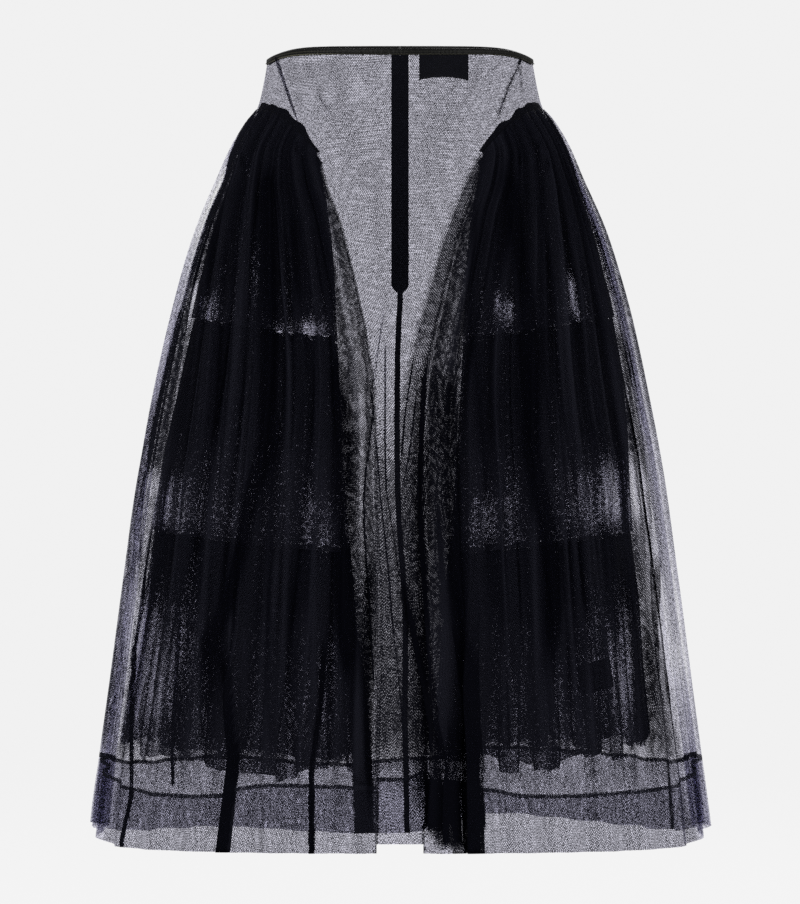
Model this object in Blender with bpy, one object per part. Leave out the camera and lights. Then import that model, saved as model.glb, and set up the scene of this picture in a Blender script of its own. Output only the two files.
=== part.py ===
"""Tulle skirt with a satin waist binding, a yoked front and back, gathered sides and a
three-tier petticoat inside each side.

Metres, +Z up. The origin is the centre of the waist, level with the waist seam at the hips.
The front faces -Y. "left" and "right" are the -X and +X sides.

Every piece of cloth is worked out from one body surface. A point of it has an angle, 0 at
the +X side and negative in front, and a height. Cloth lies a stated depth inside or outside
that surface, and gathers stand out of it or, in the petticoat, fall in from it.
"""
import math
from collections import namedtuple

import bmesh
import bpy
from mathutils import Matrix, Vector

MM = 0.001

# ---------------------------------------------------------------- driving dimensions
CLOTH = 1.0 * MM              # wall of one layer of net, with the air that it holds
HEM_CLOTH = 2.0 * MM          # wall where the hem is turned up, two layers
SEAM_GAP = 0.3 * MM           # between two pieces at a seam
LAY_GAP = 0.4 * MM            # between a panel and what lies on it
SLANT_GAP = 0.6 * MM          # height between two pieces on the slanted hip seam

HEM_HEIGHT = -758 * MM        # level of the front hem
HEM_SIDE_RISE = 15 * MM       # the hem is higher at the two ends
HEM_RISE_POWER = 30
FRONT_GORE_RISE = 8.5 * MM    # the front gore ends above the side panels' hem
HEM_TURN_UP = 60 * MM
HEM_STEP = 1.5 * MM           # height in which the wall grows to the hem's

BINDING_HEIGHT = 8 * MM
BINDING_OUTSIDE = 0.8 * MM
BINDING_INSIDE = 1.8 * MM
WAIST_MEAN = 10.5 * MM        # the waist's top edge, which is higher behind and lower at the sides
WAIST_BACK_LIFT = 9.5 * MM
WAIST_SIDE_DROP = 14.5 * MM
WAIST_DROP_POWER = 8

HIP_SEAM_SIDE = -50 * MM      # the hip seam's height at the side, and at its inner end
HIP_SEAM_INNER = -97 * MM
HIP_SEAM_POWER = 3
HIP_BAND_HEIGHT = 10 * MM
HIP_BAND_EXTRA = 8 * MM       # added where the seam is steep, at its inner end

SIDE_WAVES = 18               # gathers in each side panel, front seam to back seam
TIER_WAVES = 12               # gathers in each tier of the petticoat
COLUMNS_PER_WAVE = 4
GORE_COLUMNS = (0, 0.11, 0.32, 0.55, 0.78, 1)     # shares of the way from the middle to the edge
WING_COLUMNS = 14             # from the gore's edge to the side seam

ZIP_HALF_WIDTH = 8.7 * MM
ZIP_HALF_GAP = 0.4 * MM
ZIP_END = -222.7 * MM
ZIP_TAPER = 9 * MM            # length of the tapes' rounded ends
STRIP_ROW = 5 * MM            # rows of the tapes and the seam binding lie at least this far apart
SEAM_BINDING_HALF_WIDTH = 2.5 * MM

# One row for each level of the body surface: half width, half depth, and the power of its
# rounded outline, 2 for an ellipse and more for a squarer one.
Section = namedtuple("Section", "z half_width half_depth squareness")
BODY = (
    Section(22 * MM, 127.0 * MM, 96.0 * MM, 2.00),
    Section(0 * MM, 128.5 * MM, 98.0 * MM, 2.00),
    Section(-30 * MM, 133.7 * MM, 101.5 * MM, 2.00),
    Section(-48 * MM, 138.5 * MM, 104.0 * MM, 2.02),
    Section(-70 * MM, 149.5 * MM, 106.5 * MM, 2.05),
    Section(-90 * MM, 159.5 * MM, 109.0 * MM, 2.08),
    Section(-120 * MM, 171.0 * MM, 112.5 * MM, 2.12),
    Section(-170 * MM, 192.0 * MM, 117.5 * MM, 2.20),
    Section(-225 * MM, 208.5 * MM, 122.5 * MM, 2.27),
    Section(-300 * MM, 226.0 * MM, 129.0 * MM, 2.35),
    Section(-400 * MM, 245.0 * MM, 137.5 * MM, 2.44),
    Section(-500 * MM, 258.5 * MM, 144.5 * MM, 2.52),
    Section(-600 * MM, 271.5 * MM, 150.5 * MM, 2.58),
    Section(-700 * MM, 285.0 * MM, 156.0 * MM, 2.60),
    Section(-760 * MM, 291.5 * MM, 158.5 * MM, 2.60),
)

# Half width of the centre gore below the hip seam.
GoreEdge = namedtuple("GoreEdge", "z half_width")
GORE = (
    GoreEdge(-97 * MM, 78.5 * MM),
    GoreEdge(-130 * MM, 70.0 * MM),
    GoreEdge(-155 * MM, 60.0 * MM),
    GoreEdge(-190 * MM, 50.5 * MM),
    GoreEdge(-230 * MM, 41.0 * MM),
    GoreEdge(-270 * MM, 32.0 * MM),
    GoreEdge(-320 * MM, 25.0 * MM),
    GoreEdge(-380 * MM, 22.5 * MM),
    GoreEdge(-760 * MM, 22.0 * MM),
)

# Where the petticoat's front and back edges hang, out from the middle.
PetticoatEdge = namedtuple("PetticoatEdge", "z half_width")
PETTICOAT_EDGE = (
    PetticoatEdge(-97 * MM, 80.0 * MM),
    PetticoatEdge(-170 * MM, 69.0 * MM),
    PetticoatEdge(-264 * MM, 64.0 * MM),
    PetticoatEdge(-400 * MM, 57.0 * MM),
    PetticoatEdge(-490 * MM, 49.0 * MM),
    PetticoatEdge(-625 * MM, 38.0 * MM),
    PetticoatEdge(-720 * MM, 34.0 * MM),
)

# How far a side panel's gathers stand out, by distance below the hip seam.
GatherDepth = namedtuple("GatherDepth", "below depth")
GATHERS = (
    GatherDepth(0 * MM, 0.8 * MM),
    GatherDepth(-10 * MM, 3.8 * MM),
    GatherDepth(-30 * MM, 5.6 * MM),
    GatherDepth(-90 * MM, 7.4 * MM),
    GatherDepth(-250 * MM, 8.6 * MM),
    GatherDepth(-500 * MM, 9.6 * MM),
    GatherDepth(-720 * MM, 10.0 * MM),
)
GATHER_UNEVENNESS = 0.2

# The back hem's height against the front's, from the left end (-1) to the right end (1).
HemSway = namedtuple("HemSway", "across rise")
BACK_HEM_SWAY = (
    HemSway(1.0, 0 * MM),
    HemSway(0.9, 1 * MM),
    HemSway(0.6, 8 * MM),
    HemSway(0.3, 13 * MM),
    HemSway(0.08, -3 * MM),
    HemSway(-0.1, -7 * MM),
    HemSway(-0.3, -5 * MM),
    HemSway(-0.6, 1 * MM),
    HemSway(-1.0, 0 * MM),
)

# Rows of a side panel and of the gore, as shares of the way from the hip seam to the hem.
ROW_SHARES = (0, 0.012, 0.035, 0.085, 0.165, 0.27, 0.39, 0.52, 0.65, 0.78)

# One row for each tier: its two heights, how far it hangs inside the body surface at its
# top and bottom on either side, and the depth of its gathers at both.
Tier = namedtuple("Tier", "top bottom left_top left_bottom right_top right_bottom tight loose")
TIERS = (
    Tier(None, -268.7 * MM, 2.4 * MM, 13 * MM, 2.4 * MM, 7 * MM, 1.0 * MM, 7.0 * MM),
    Tier(-269.0 * MM, -465.3 * MM, 15 * MM, 13 * MM, 9 * MM, 27 * MM, 2.2 * MM, 8.0 * MM),
    Tier(-465.6 * MM, -680.0 * MM, 15 * MM, 8 * MM, 29 * MM, 36 * MM, 2.2 * MM, 9.0 * MM),
)
TIER_ROW_SHARES = (0, 0.14, 0.5, 1)
TIER_OPENING = 0.7            # below 1, the gathers open out quickly under the tier's top
TIER_UNEVENNESS = 0.18
LAST_TIER_RAGGED = 9 * MM     # the last tier's lower edge is uneven

WAIST_LABEL_HEIGHT = 25 * MM
WAIST_LABEL_LEFT = 19.4 * MM
WAIST_LABEL_RIGHT = 66.9 * MM
WAIST_LABEL_ARCH = 3 * MM
WAIST_LABEL_INSET = 1.8 * MM
CARE_LABEL_CENTRE_X = 208 * MM    # on the body surface, from which it lies well inside
CARE_LABEL_CENTRE_Z = -592 * MM
CARE_LABEL_HALF_WIDTH = 22 * MM
CARE_LABEL_HALF_HEIGHT = 14 * MM
CARE_LABEL_TILT = math.radians(12)

SLIDER_AXIS_HEIGHT = 2.5 * MM     # height of the pull's axis
SLIDER_AXIS_OUT = 3.6 * MM        # from the cloth's outer face to the axis
SLIDER_BASE_THICKNESS = 1.1 * MM
SLIDER_HALF_WIDTH = 3.0 * MM
SLIDER_HALF_LENGTH = 4.5 * MM
BRIDGE_HALF_WIDTH = 0.6 * MM
BRIDGE_LEG = 0.9 * MM
BRIDGE_HALF_OPENING = 1.0 * MM
BRIDGE_ABOVE_AXIS = 0.95 * MM
BRIDGE_BAR = 0.8 * MM
PULL_THICKNESS = 0.9 * MM

# The pull tab, down from its top bar on the hinge axis, with the window's half width.
PullRow = namedtuple("PullRow", "up half_width window")
PULL = (
    PullRow(0.45 * MM, 2.3 * MM, 1.4 * MM),
    PullRow(-0.45 * MM, 2.3 * MM, 1.4 * MM),
    PullRow(-3.2 * MM, 2.3 * MM, 1.4 * MM),
    PullRow(-5.0 * MM, 1.7 * MM, 0.8 * MM),
    PullRow(-12.0 * MM, 2.2 * MM, 1.1 * MM),
    PullRow(-19.0 * MM, 2.8 * MM, 1.4 * MM),
    PullRow(-21.0 * MM, 2.3 * MM, 1.1 * MM),
    PullRow(-22.0 * MM, 1.2 * MM, 0.5 * MM),
)

COLOURS = {
    "net": ((0.016, 0.017, 0.026), 0.8, 0.0),
    "petticoat_net": ((0.012, 0.013, 0.020), 0.8, 0.0),
    "satin": ((0.020, 0.019, 0.014), 0.35, 0.0),
    "zip_tape": ((0.008, 0.008, 0.010), 0.7, 0.0),
    "dark_metal": ((0.05, 0.05, 0.055), 0.35, 1.0),
    "label_cloth": ((0.010, 0.010, 0.012), 0.6, 0.0),
}


# ---------------------------------------------------------------- tables and the body surface
def read_table(table, at, column):
    """Value of a column where the first column is `at`, on a smooth curve through the rows."""
    keys = [row[0] for row in table]
    values = [getattr(row, column) for row in table]
    last = len(keys) - 1
    if at >= keys[0]:
        slope = (values[1] - values[0]) / (keys[1] - keys[0])
        return values[0] + slope * (at - keys[0])
    if at <= keys[last]:
        slope = (values[last] - values[last - 1]) / (keys[last] - keys[last - 1])
        return values[last] + slope * (at - keys[last])
    low = max(i for i in range(last) if keys[i] >= at)
    span = keys[low + 1] - keys[low]
    share = (at - keys[low]) / span

    def slope_at(i):
        before, after = max(i - 1, 0), min(i + 1, last)
        return (values[after] - values[before]) / (keys[after] - keys[before])

    start, end = slope_at(low) * span, slope_at(low + 1) * span
    return (values[low] * (2 * share ** 3 - 3 * share ** 2 + 1)
            + start * (share ** 3 - 2 * share ** 2 + share)
            + values[low + 1] * (3 * share ** 2 - 2 * share ** 3)
            + end * (share ** 3 - share ** 2))


def mix(low, high, share):
    return low + (high - low) * share


def smoothstep(share):
    share = min(max(share, 0.0), 1.0)
    return share * share * (3 - 2 * share)


def body_size(z):
    return (read_table(BODY, z, "half_width"), read_table(BODY, z, "half_depth"),
            read_table(BODY, z, "squareness"))


def signed_power(value, power):
    return math.copysign(abs(value) ** power, value)


def body_point(angle, z, size=None):
    """Point of the body surface."""
    half_width, half_depth, power = size or body_size(z)
    return Vector((half_width * signed_power(math.cos(angle), 2 / power),
                   half_depth * signed_power(math.sin(angle), 2 / power), z))


def body_normal(angle, z):
    """Outward normal of the body surface, from the gradient of its outline's equation."""
    step = 2 * MM
    half_width, half_depth, power = body_size(z)
    above, below = body_size(z + step), body_size(z - step)
    point = body_point(angle, z)
    across = abs(point.x / half_width)
    along = abs(point.y / half_depth)
    gradient_x = power * math.copysign(across ** (power - 1), point.x) / half_width
    gradient_y = power * math.copysign(along ** (power - 1), point.y) / half_depth
    width_slope = (above[0] - below[0]) / (2 * step)
    depth_slope = (above[1] - below[1]) / (2 * step)
    gradient_z = -power * (across ** power * width_slope / half_width
                           + along ** power * depth_slope / half_depth)
    return Vector((gradient_x, gradient_y, gradient_z)).normalized()


def cloth_point(angle, z, out=0.0):
    """Point that lies `out` metres outside the body surface."""
    return body_point(angle, z) + body_normal(angle, z) * out


def angle_of_half_width(x, z):
    """How far round from the side the body surface has the half width x."""
    half_width, _, power = body_size(z)
    return math.acos(min(x / half_width, 1.0) ** (power / 2))


def edge_angle(z, table):
    """Angle of a gore or petticoat edge. Above the hip seam's inner end it stays the same."""
    z = min(z, HIP_SEAM_INNER)
    return angle_of_half_width(read_table(table, z, "half_width"), z)


def arc_angle(z, reach, share):
    """Angle at a share of the arc length between -reach and +reach."""
    steps = 96
    size = body_size(z)
    angles = [mix(-reach, reach, i / steps) for i in range(steps + 1)]
    points = [body_point(angle, z, size) for angle in angles]
    lengths = [0.0]
    for before, after in zip(points, points[1:]):
        lengths.append(lengths[-1] + (after - before).length)
    wanted = share * lengths[-1]
    for i in range(steps):
        if wanted <= lengths[i + 1] or i == steps - 1:
            inside = (wanted - lengths[i]) / (lengths[i + 1] - lengths[i])
            return mix(angles[i], angles[i + 1], inside)
    return reach


HIP_SEAM_ANGLE = edge_angle(HIP_SEAM_INNER, GORE)


# ---------------------------------------------------------------- edges
def waist_top(angle):
    """Height of the waist's top edge."""
    return (WAIST_MEAN + WAIST_BACK_LIFT * math.sin(angle)
            - WAIST_SIDE_DROP * abs(math.cos(angle)) ** WAIST_DROP_POWER)


def panel_top(angle):
    return waist_top(angle) - BINDING_HEIGHT - SEAM_GAP


def hip_seam(angle):
    """Height of the slanted hip seam."""
    share = min(abs(angle) / HIP_SEAM_ANGLE, 1.0)
    return mix(HIP_SEAM_SIDE, HIP_SEAM_INNER, share ** HIP_SEAM_POWER)


def hip_band_top(angle):
    share = min(abs(angle) / HIP_SEAM_ANGLE, 1.0)
    return (hip_seam(angle) + SLANT_GAP / 2 + HIP_BAND_HEIGHT
            + HIP_BAND_EXTRA * share ** HIP_SEAM_POWER)


def hem_height(angle, side):
    """Height of the hem at an angle on the side 1 (+X) or -1 (-X)."""
    size = body_size(HEM_HEIGHT)
    point = body_point(angle, HEM_HEIGHT, size)
    across = point.x / size[0]
    to_back = smoothstep(0.5 + point.y / size[1])
    sway = read_table(BACK_HEM_SWAY, across * side, "rise") * to_back
    return HEM_HEIGHT + HEM_SIDE_RISE * across ** HEM_RISE_POWER + sway


def row_heights(top, hem):
    """Heights of a long panel's rows, with the step where the turned-up hem begins."""
    shares = [mix(top, hem, share) for share in ROW_SHARES]
    return shares + [hem + HEM_TURN_UP, hem + HEM_TURN_UP - HEM_STEP, hem]


def row_walls():
    return [CLOTH] * (len(ROW_SHARES) + 1) + [HEM_CLOTH] * 2


# ---------------------------------------------------------------- solids and materials
def make_material(name):
    colour, roughness, metallic = COLOURS[name]
    material = bpy.data.materials.new(name)
    material.use_nodes = True
    shader = material.node_tree.nodes["Principled BSDF"]
    shader.inputs["Base Color"].default_value = (*colour, 1)
    shader.inputs["Roughness"].default_value = roughness
    shader.inputs["Metallic"].default_value = metallic
    material.diffuse_color = (*colour, 1)
    return material


def material_for(name, slot):
    """A material of the piece's own, with the finish of its kind of cloth."""
    material = make_material(slot)
    material.name = name + "_" + slot
    return material


def finish_object(name, shape, slot, parent):
    """Close up a bmesh as an object with outward faces and smooth shading."""
    bmesh.ops.recalc_face_normals(shape, faces=shape.faces)
    mesh = bpy.data.meshes.new(name)
    shape.to_mesh(mesh)
    shape.free()
    mesh.shade_smooth()
    mesh.set_sharp_from_angle(angle=math.radians(50))
    mesh.materials.append(material_for(name, slot))
    made = bpy.data.objects.new(name, mesh)
    made.parent = parent
    bpy.context.scene.collection.objects.link(made)
    return made


def solid_between(name, outer, inner, slot, parent, missing=()):
    """One closed wall between two grids of points. `missing` lists its absent cells.

    Both faces of a cell are cut along the same diagonal, so that they stay apart.
    """
    rows, columns = len(outer), len(outer[0])
    cells = {(row, column) for row in range(rows - 1) for column in range(columns - 1)}
    cells -= set(missing)
    shape = bmesh.new()
    faces = {}

    def corner(grid_name, grid, row, column):
        key = (grid_name, row, column)
        if key not in faces:
            faces[key] = shape.verts.new(grid[row][column])
        return faces[key]

    for row, column in sorted(cells):
        around = [(row, column), (row, column + 1), (row + 1, column + 1), (row + 1, column)]
        for half in ((0, 1, 2), (0, 2, 3)):
            shape.faces.new([corner("outer", outer, *around[place]) for place in half])
            shape.faces.new([corner("inner", inner, *around[place]) for place in reversed(half)])
        beyond = [(row - 1, column), (row, column + 1), (row + 1, column), (row, column - 1)]
        for side, neighbour in enumerate(beyond):
            if neighbour in cells:
                continue
            start, end = around[side], around[(side + 1) % 4]
            shape.faces.new([corner("outer", outer, *end), corner("outer", outer, *start),
                             corner("inner", inner, *start), corner("inner", inner, *end)])
    return finish_object(name, shape, slot, parent)


def mirrored(grid, side):
    """The grid on the +X side (side 1) or the -X side (side -1)."""
    return [[Vector((point.x * side, point.y, point.z)) for point in row] for row in grid]


# ---------------------------------------------------------------- front and back panels
def gore_angle(share, z):
    """Angle of the gore's column at a share of the way from the middle to its edge."""
    edge = edge_angle(z, GORE)
    half_width = body_point(edge, z).x - SEAM_GAP / 2
    return angle_of_half_width(max(share * half_width, SEAM_GAP / 2), z)


def side_gap_angle(z):
    """Angle that leaves half a seam gap at the side seam."""
    size = body_size(z)
    return math.asin(min((SEAM_GAP / 2 / size[1]) ** (size[2] / 2), 1.0))


def panel_columns(facing, side):
    """Half a front (facing -1) or back (facing 1) panel: columns of (angle, height, wall)."""
    columns = []
    for share in GORE_COLUMNS:
        top = panel_top(facing * gore_angle(share, 0.0))
        bottom = HIP_SEAM_INNER + SLANT_GAP / 2
        band = hip_band_top(HIP_SEAM_ANGLE)
        yoke = [top, mix(top, band, 0.5), band, bottom]
        hem = hem_height(facing * gore_angle(share, HEM_HEIGHT), side)
        long_rows = row_heights(HIP_SEAM_INNER, hem)[1:]
        if facing < 0:
            long_rows[-1] += FRONT_GORE_RISE
        walls = [CLOTH] * len(yoke) + row_walls()[1:]
        heights = yoke + long_rows
        columns.append([(facing * gore_angle(share, z), z, wall)
                        for z, wall in zip(heights, walls)])
    for column in range(1, WING_COLUMNS + 1):
        angle = HIP_SEAM_ANGLE * (1 - column / WING_COLUMNS)
        if column == WING_COLUMNS:
            angle = side_gap_angle(HIP_SEAM_SIDE)
        top = panel_top(facing * angle)
        band = hip_band_top(angle)
        bottom = hip_seam(angle) + SLANT_GAP / 2
        heights = [top, mix(top, band, 0.5), band, bottom]
        columns.append([(facing * angle, z, CLOTH) for z in heights])
    return columns


def panel_grids(columns):
    """Outer and inner points of half a panel, row by row, and its missing cells."""
    rows = len(columns[0])
    outer, inner = [], []
    for row in range(rows):
        places = [column[min(row, len(column) - 1)] for column in columns]
        outer.append([cloth_point(angle, z) for angle, z, _ in places])
        inner.append([cloth_point(angle, z, -wall) for angle, z, wall in places])
    gore_cells = len(GORE_COLUMNS) - 1
    missing = [(row, column) for row in range(3, rows - 1)
               for column in range(gore_cells, len(columns) - 1)]
    return outer, inner, missing


def build_front_panel(parent):
    outer, inner, missing = panel_grids(panel_columns(-1, 1))
    half = len(outer[0])

    def whole(grid):
        left = mirrored(grid, -1)
        return [list(reversed(left[row]))[:-1] + [middle(grid[row][0])] + grid[row][1:]
                for row in range(len(grid))]

    def middle(point):
        return Vector((0, point.y, point.z))

    right = [(row, column + half - 1) for row, column in missing]
    left = [(row, half - 2 - column) for row, column in missing]
    solid_between("front_panel", whole(outer), whole(inner), "net", parent, right + left)


def build_back_panels(parent):
    for name, side in (("back_panel_left", -1), ("back_panel_right", 1)):
        outer, inner, missing = panel_grids(panel_columns(1, side))
        solid_between(name, mirrored(outer, side), mirrored(inner, side), "net", parent, missing)


# ---------------------------------------------------------------- gathered side panels
def side_angle(share, z):
    """Angle of a side panel's point, by arc length between its two seams."""
    edge = edge_angle(z, GORE)
    if z < HIP_SEAM_INNER:
        edge = angle_of_half_width(body_point(edge, z).x + SEAM_GAP / 2, z)
    return arc_angle(z, edge, share)


def top_of_column(angle_at, share, below_seam):
    """Height where a column of a gathered piece meets the hip seam."""
    z = HIP_SEAM_SIDE
    for _ in range(12):
        z = mix(z, hip_seam(angle_at(share, z)) - below_seam, 0.8)
    return z


def value_between(values, share):
    """Value at a share of the way along an evenly spaced list."""
    place = share * (len(values) - 1)
    low = min(int(place), len(values) - 2)
    return mix(values[low], values[low + 1], place - low)


def gather_wave(share, waves, side):
    """0 in the troughs and about 1 on the crests, each gather with a depth of its own."""
    number = min(int(share * waves), waves - 1)
    uneven = math.sin(2.4 * number + 1.3 * side) * math.cos(0.7 * number)
    return (1 - math.cos(2 * math.pi * share * waves)) / 2, uneven


def side_surface(share, z, tops, side):
    """Outer face of a side panel; tops holds its columns' heights at the hip seam."""
    wave, uneven = gather_wave(share, SIDE_WAVES, side)
    below = min(z - value_between(tops, share), 0.0)
    depth = read_table(GATHERS, below, "depth") * (1 + GATHER_UNEVENNESS * uneven)
    return cloth_point(side_angle(share, z), z, depth * wave)


def surface_normal(surface, share, z):
    """Outward normal of a surface that is a function of share and height."""
    share_step, z_step = 0.0008, 0.8 * MM
    low, high = max(share - share_step, 0.0), min(share + share_step, 1.0)
    across = surface(high, z) - surface(low, z)
    down = surface(share, z - z_step) - surface(share, z + z_step)
    return down.cross(across).normalized()


def build_side_panels(parent):
    count = SIDE_WAVES * COLUMNS_PER_WAVE
    shares = [column / count for column in range(count + 1)]
    tops = [top_of_column(side_angle, share, SLANT_GAP / 2) for share in shares]
    for name, side in (("side_panel_left", -1), ("side_panel_right", 1)):
        outer = [[] for _ in row_walls()]
        inner = [[] for _ in row_walls()]

        def surface(share, z):
            return side_surface(share, z, tops, side)

        for share, top in zip(shares, tops):
            hem = hem_height(side_angle(share, HEM_HEIGHT), side)
            for row, z in enumerate(row_heights(top, hem)):
                point = surface(share, z)
                normal = surface_normal(surface, share, z)
                if row == 0:
                    normal = body_normal(side_angle(share, z), z)
                outer[row].append(point)
                inner[row].append(point - normal * row_walls()[row])
        solid_between(name, mirrored(outer, side), mirrored(inner, side), "net", parent)


# ---------------------------------------------------------------- petticoat
def petticoat_angle(share, z):
    edge = edge_angle(z, PETTICOAT_EDGE)
    return arc_angle(z, edge, share)


def tier_tops(tier, shares):
    if tier.top is None:
        return [top_of_column(petticoat_angle, share, SLANT_GAP) for share in shares]
    return [tier.top for _ in shares]


def tier_bottom(tier, share):
    if tier is TIERS[-1]:
        return tier.bottom + LAST_TIER_RAGGED * math.sin(9 * share) * math.cos(23 * share)
    return tier.bottom


def tier_depth(tier, share, z, tops, side):
    """How far inside the body surface a tier's outer face lies."""
    top = value_between(tops, share)
    down = (top - z) / (top - tier.bottom)
    wave, uneven = gather_wave(share, TIER_WAVES, side + tier.bottom)
    top_inset = tier.left_top if side < 0 else tier.right_top
    bottom_inset = tier.left_bottom if side < 0 else tier.right_bottom
    inset = mix(top_inset, bottom_inset, smoothstep(down))
    depth = mix(tier.tight, tier.loose, max(down, 0.0) ** TIER_OPENING)
    depth *= 1 + TIER_UNEVENNESS * uneven
    return inset + depth * wave


def tier_surface(tier, share, z, tops, side):
    """Outer face of a tier. Its gathers fall in from it and open out towards the bottom."""
    depth = tier_depth(tier, share, z, tops, side)
    return cloth_point(petticoat_angle(share, z), z, -depth)


def build_petticoat(parent):
    count = TIER_WAVES * COLUMNS_PER_WAVE
    shares = [column / count for column in range(count + 1)]
    for side_name, side in (("left", -1), ("right", 1)):
        for number, tier in enumerate(TIERS, start=1):
            outer = [[] for _ in TIER_ROW_SHARES]
            inner = [[] for _ in TIER_ROW_SHARES]
            tops = tier_tops(tier, shares)

            def surface(share, z):
                return tier_surface(tier, share, z, tops, side)

            for share, top in zip(shares, tops):
                bottom = tier_bottom(tier, share)
                for row, row_share in enumerate(TIER_ROW_SHARES):
                    z = mix(top, bottom, row_share)
                    point = surface(share, z)
                    normal = surface_normal(surface, share, z)
                    level = Vector((normal.x, normal.y, 0)).normalized()
                    outer[row].append(point)
                    inner[row].append(point - level * CLOTH)
            name = "petticoat_" + side_name + "_tier_" + str(number)
            solid_between(name, mirrored(outer, side), mirrored(inner, side),
                          "petticoat_net", parent)


# ---------------------------------------------------------------- bindings and zip
def ring_angles():
    """Angles of the waist's columns, from the centre back round the front and back again."""
    quarter = [gore_angle(share, 0.0) for share in GORE_COLUMNS]
    wing = [HIP_SEAM_ANGLE * (1 - column / WING_COLUMNS) for column in range(1, WING_COLUMNS)]
    half = quarter + wing
    back_right = half + [0.0]
    front_right = [-angle for angle in reversed(half)]
    front_right[-1] = -math.pi / 2
    right = back_right + front_right
    left = [math.pi - angle for angle in reversed(right[:-1])]
    return right + [angle - 2 * math.pi if angle > math.pi else angle for angle in left]


def build_waist_binding(parent):
    angles = ring_angles()

    def edge(out, drop):
        points = []
        for angle in angles:
            z = waist_top(angle) - drop
            points.append(cloth_point(angle, z, out))
        return points

    outer = [edge(BINDING_OUTSIDE, 0), edge(BINDING_OUTSIDE, BINDING_HEIGHT)]
    inner = [edge(-BINDING_INSIDE, 0), edge(-BINDING_INSIDE, BINDING_HEIGHT)]
    solid_between("waist_binding", outer, inner, "satin", parent)


def build_hip_bindings(parent):
    """The bound seam allowance, turned up against the inside of the yoke."""
    shares = [column / WING_COLUMNS for column in range(WING_COLUMNS, 0, -1)]
    angles = [-HIP_SEAM_ANGLE * share for share in shares] + [0.0]
    angles += [HIP_SEAM_ANGLE * share for share in reversed(shares)]
    outside = CLOTH + LAY_GAP

    def edge(depth, height_at):
        return [cloth_point(angle, height_at(angle), -depth) for angle in angles]

    def low(angle):
        return hip_seam(angle) + SLANT_GAP / 2

    outer = [edge(outside, hip_band_top), edge(outside, low)]
    inner = [edge(outside + CLOTH, hip_band_top), edge(outside + CLOTH, low)]
    for name, side in (("hip_binding_left", -1), ("hip_binding_right", 1)):
        solid_between(name, mirrored(outer, side), mirrored(inner, side), "satin", parent)


def back_angle(x, z):
    """Angle of the point of the back that lies x from the middle."""
    angle = angle_of_half_width(abs(x), z)
    return angle if x > 0 else math.pi - angle


def back_strip(name, slot, parent, heights, edges, side=1):
    """A strip on the inside of the back panels; edges gives its two x by height."""
    outer, inner = [], []
    hem_top = hem_height(math.pi / 2, side) + HEM_TURN_UP
    for z in heights:
        angles = [back_angle(x, z) for x in edges(z)]
        depth = (HEM_CLOTH if z < hem_top + HEM_STEP / 2 else CLOTH) + LAY_GAP
        outer.append([cloth_point(angle, z, -depth) for angle in angles])
        inner.append([cloth_point(angle, z, -depth - CLOTH) for angle in angles])
    solid_between(name, mirrored(outer, side), mirrored(inner, side), slot, parent)


def build_zip_tapes(parent):
    top = panel_top(math.pi / 2)
    band = hip_band_top(HIP_SEAM_ANGLE)
    heights = [top, mix(top, band, 0.5), band, HIP_SEAM_INNER]
    heights += [z for z in row_heights(HIP_SEAM_INNER, HEM_HEIGHT)[2:]
                if z > ZIP_END + ZIP_TAPER + STRIP_ROW]
    heights += [ZIP_END + ZIP_TAPER, ZIP_END + ZIP_TAPER / 3, ZIP_END]

    def edges(z):
        left = max(ZIP_END + ZIP_TAPER - z, 0) / ZIP_TAPER
        return ZIP_HALF_GAP, mix(ZIP_HALF_WIDTH, 0.45 * ZIP_HALF_WIDTH, left ** 2)

    for name, side in (("zip_tape_left", -1), ("zip_tape_right", 1)):
        back_strip(name, "zip_tape", parent, heights, edges, side)


def build_back_seam_binding(parent):
    hem = hem_height(math.pi / 2, 1)
    heights = [ZIP_END - SEAM_GAP]
    heights += [z for z in row_heights(HIP_SEAM_INNER, hem)[1:] if z < ZIP_END - STRIP_ROW]

    def edges(_):
        return -SEAM_BINDING_HALF_WIDTH, SEAM_BINDING_HALF_WIDTH

    back_strip("back_seam_binding", "zip_tape", parent, heights, edges)


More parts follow.
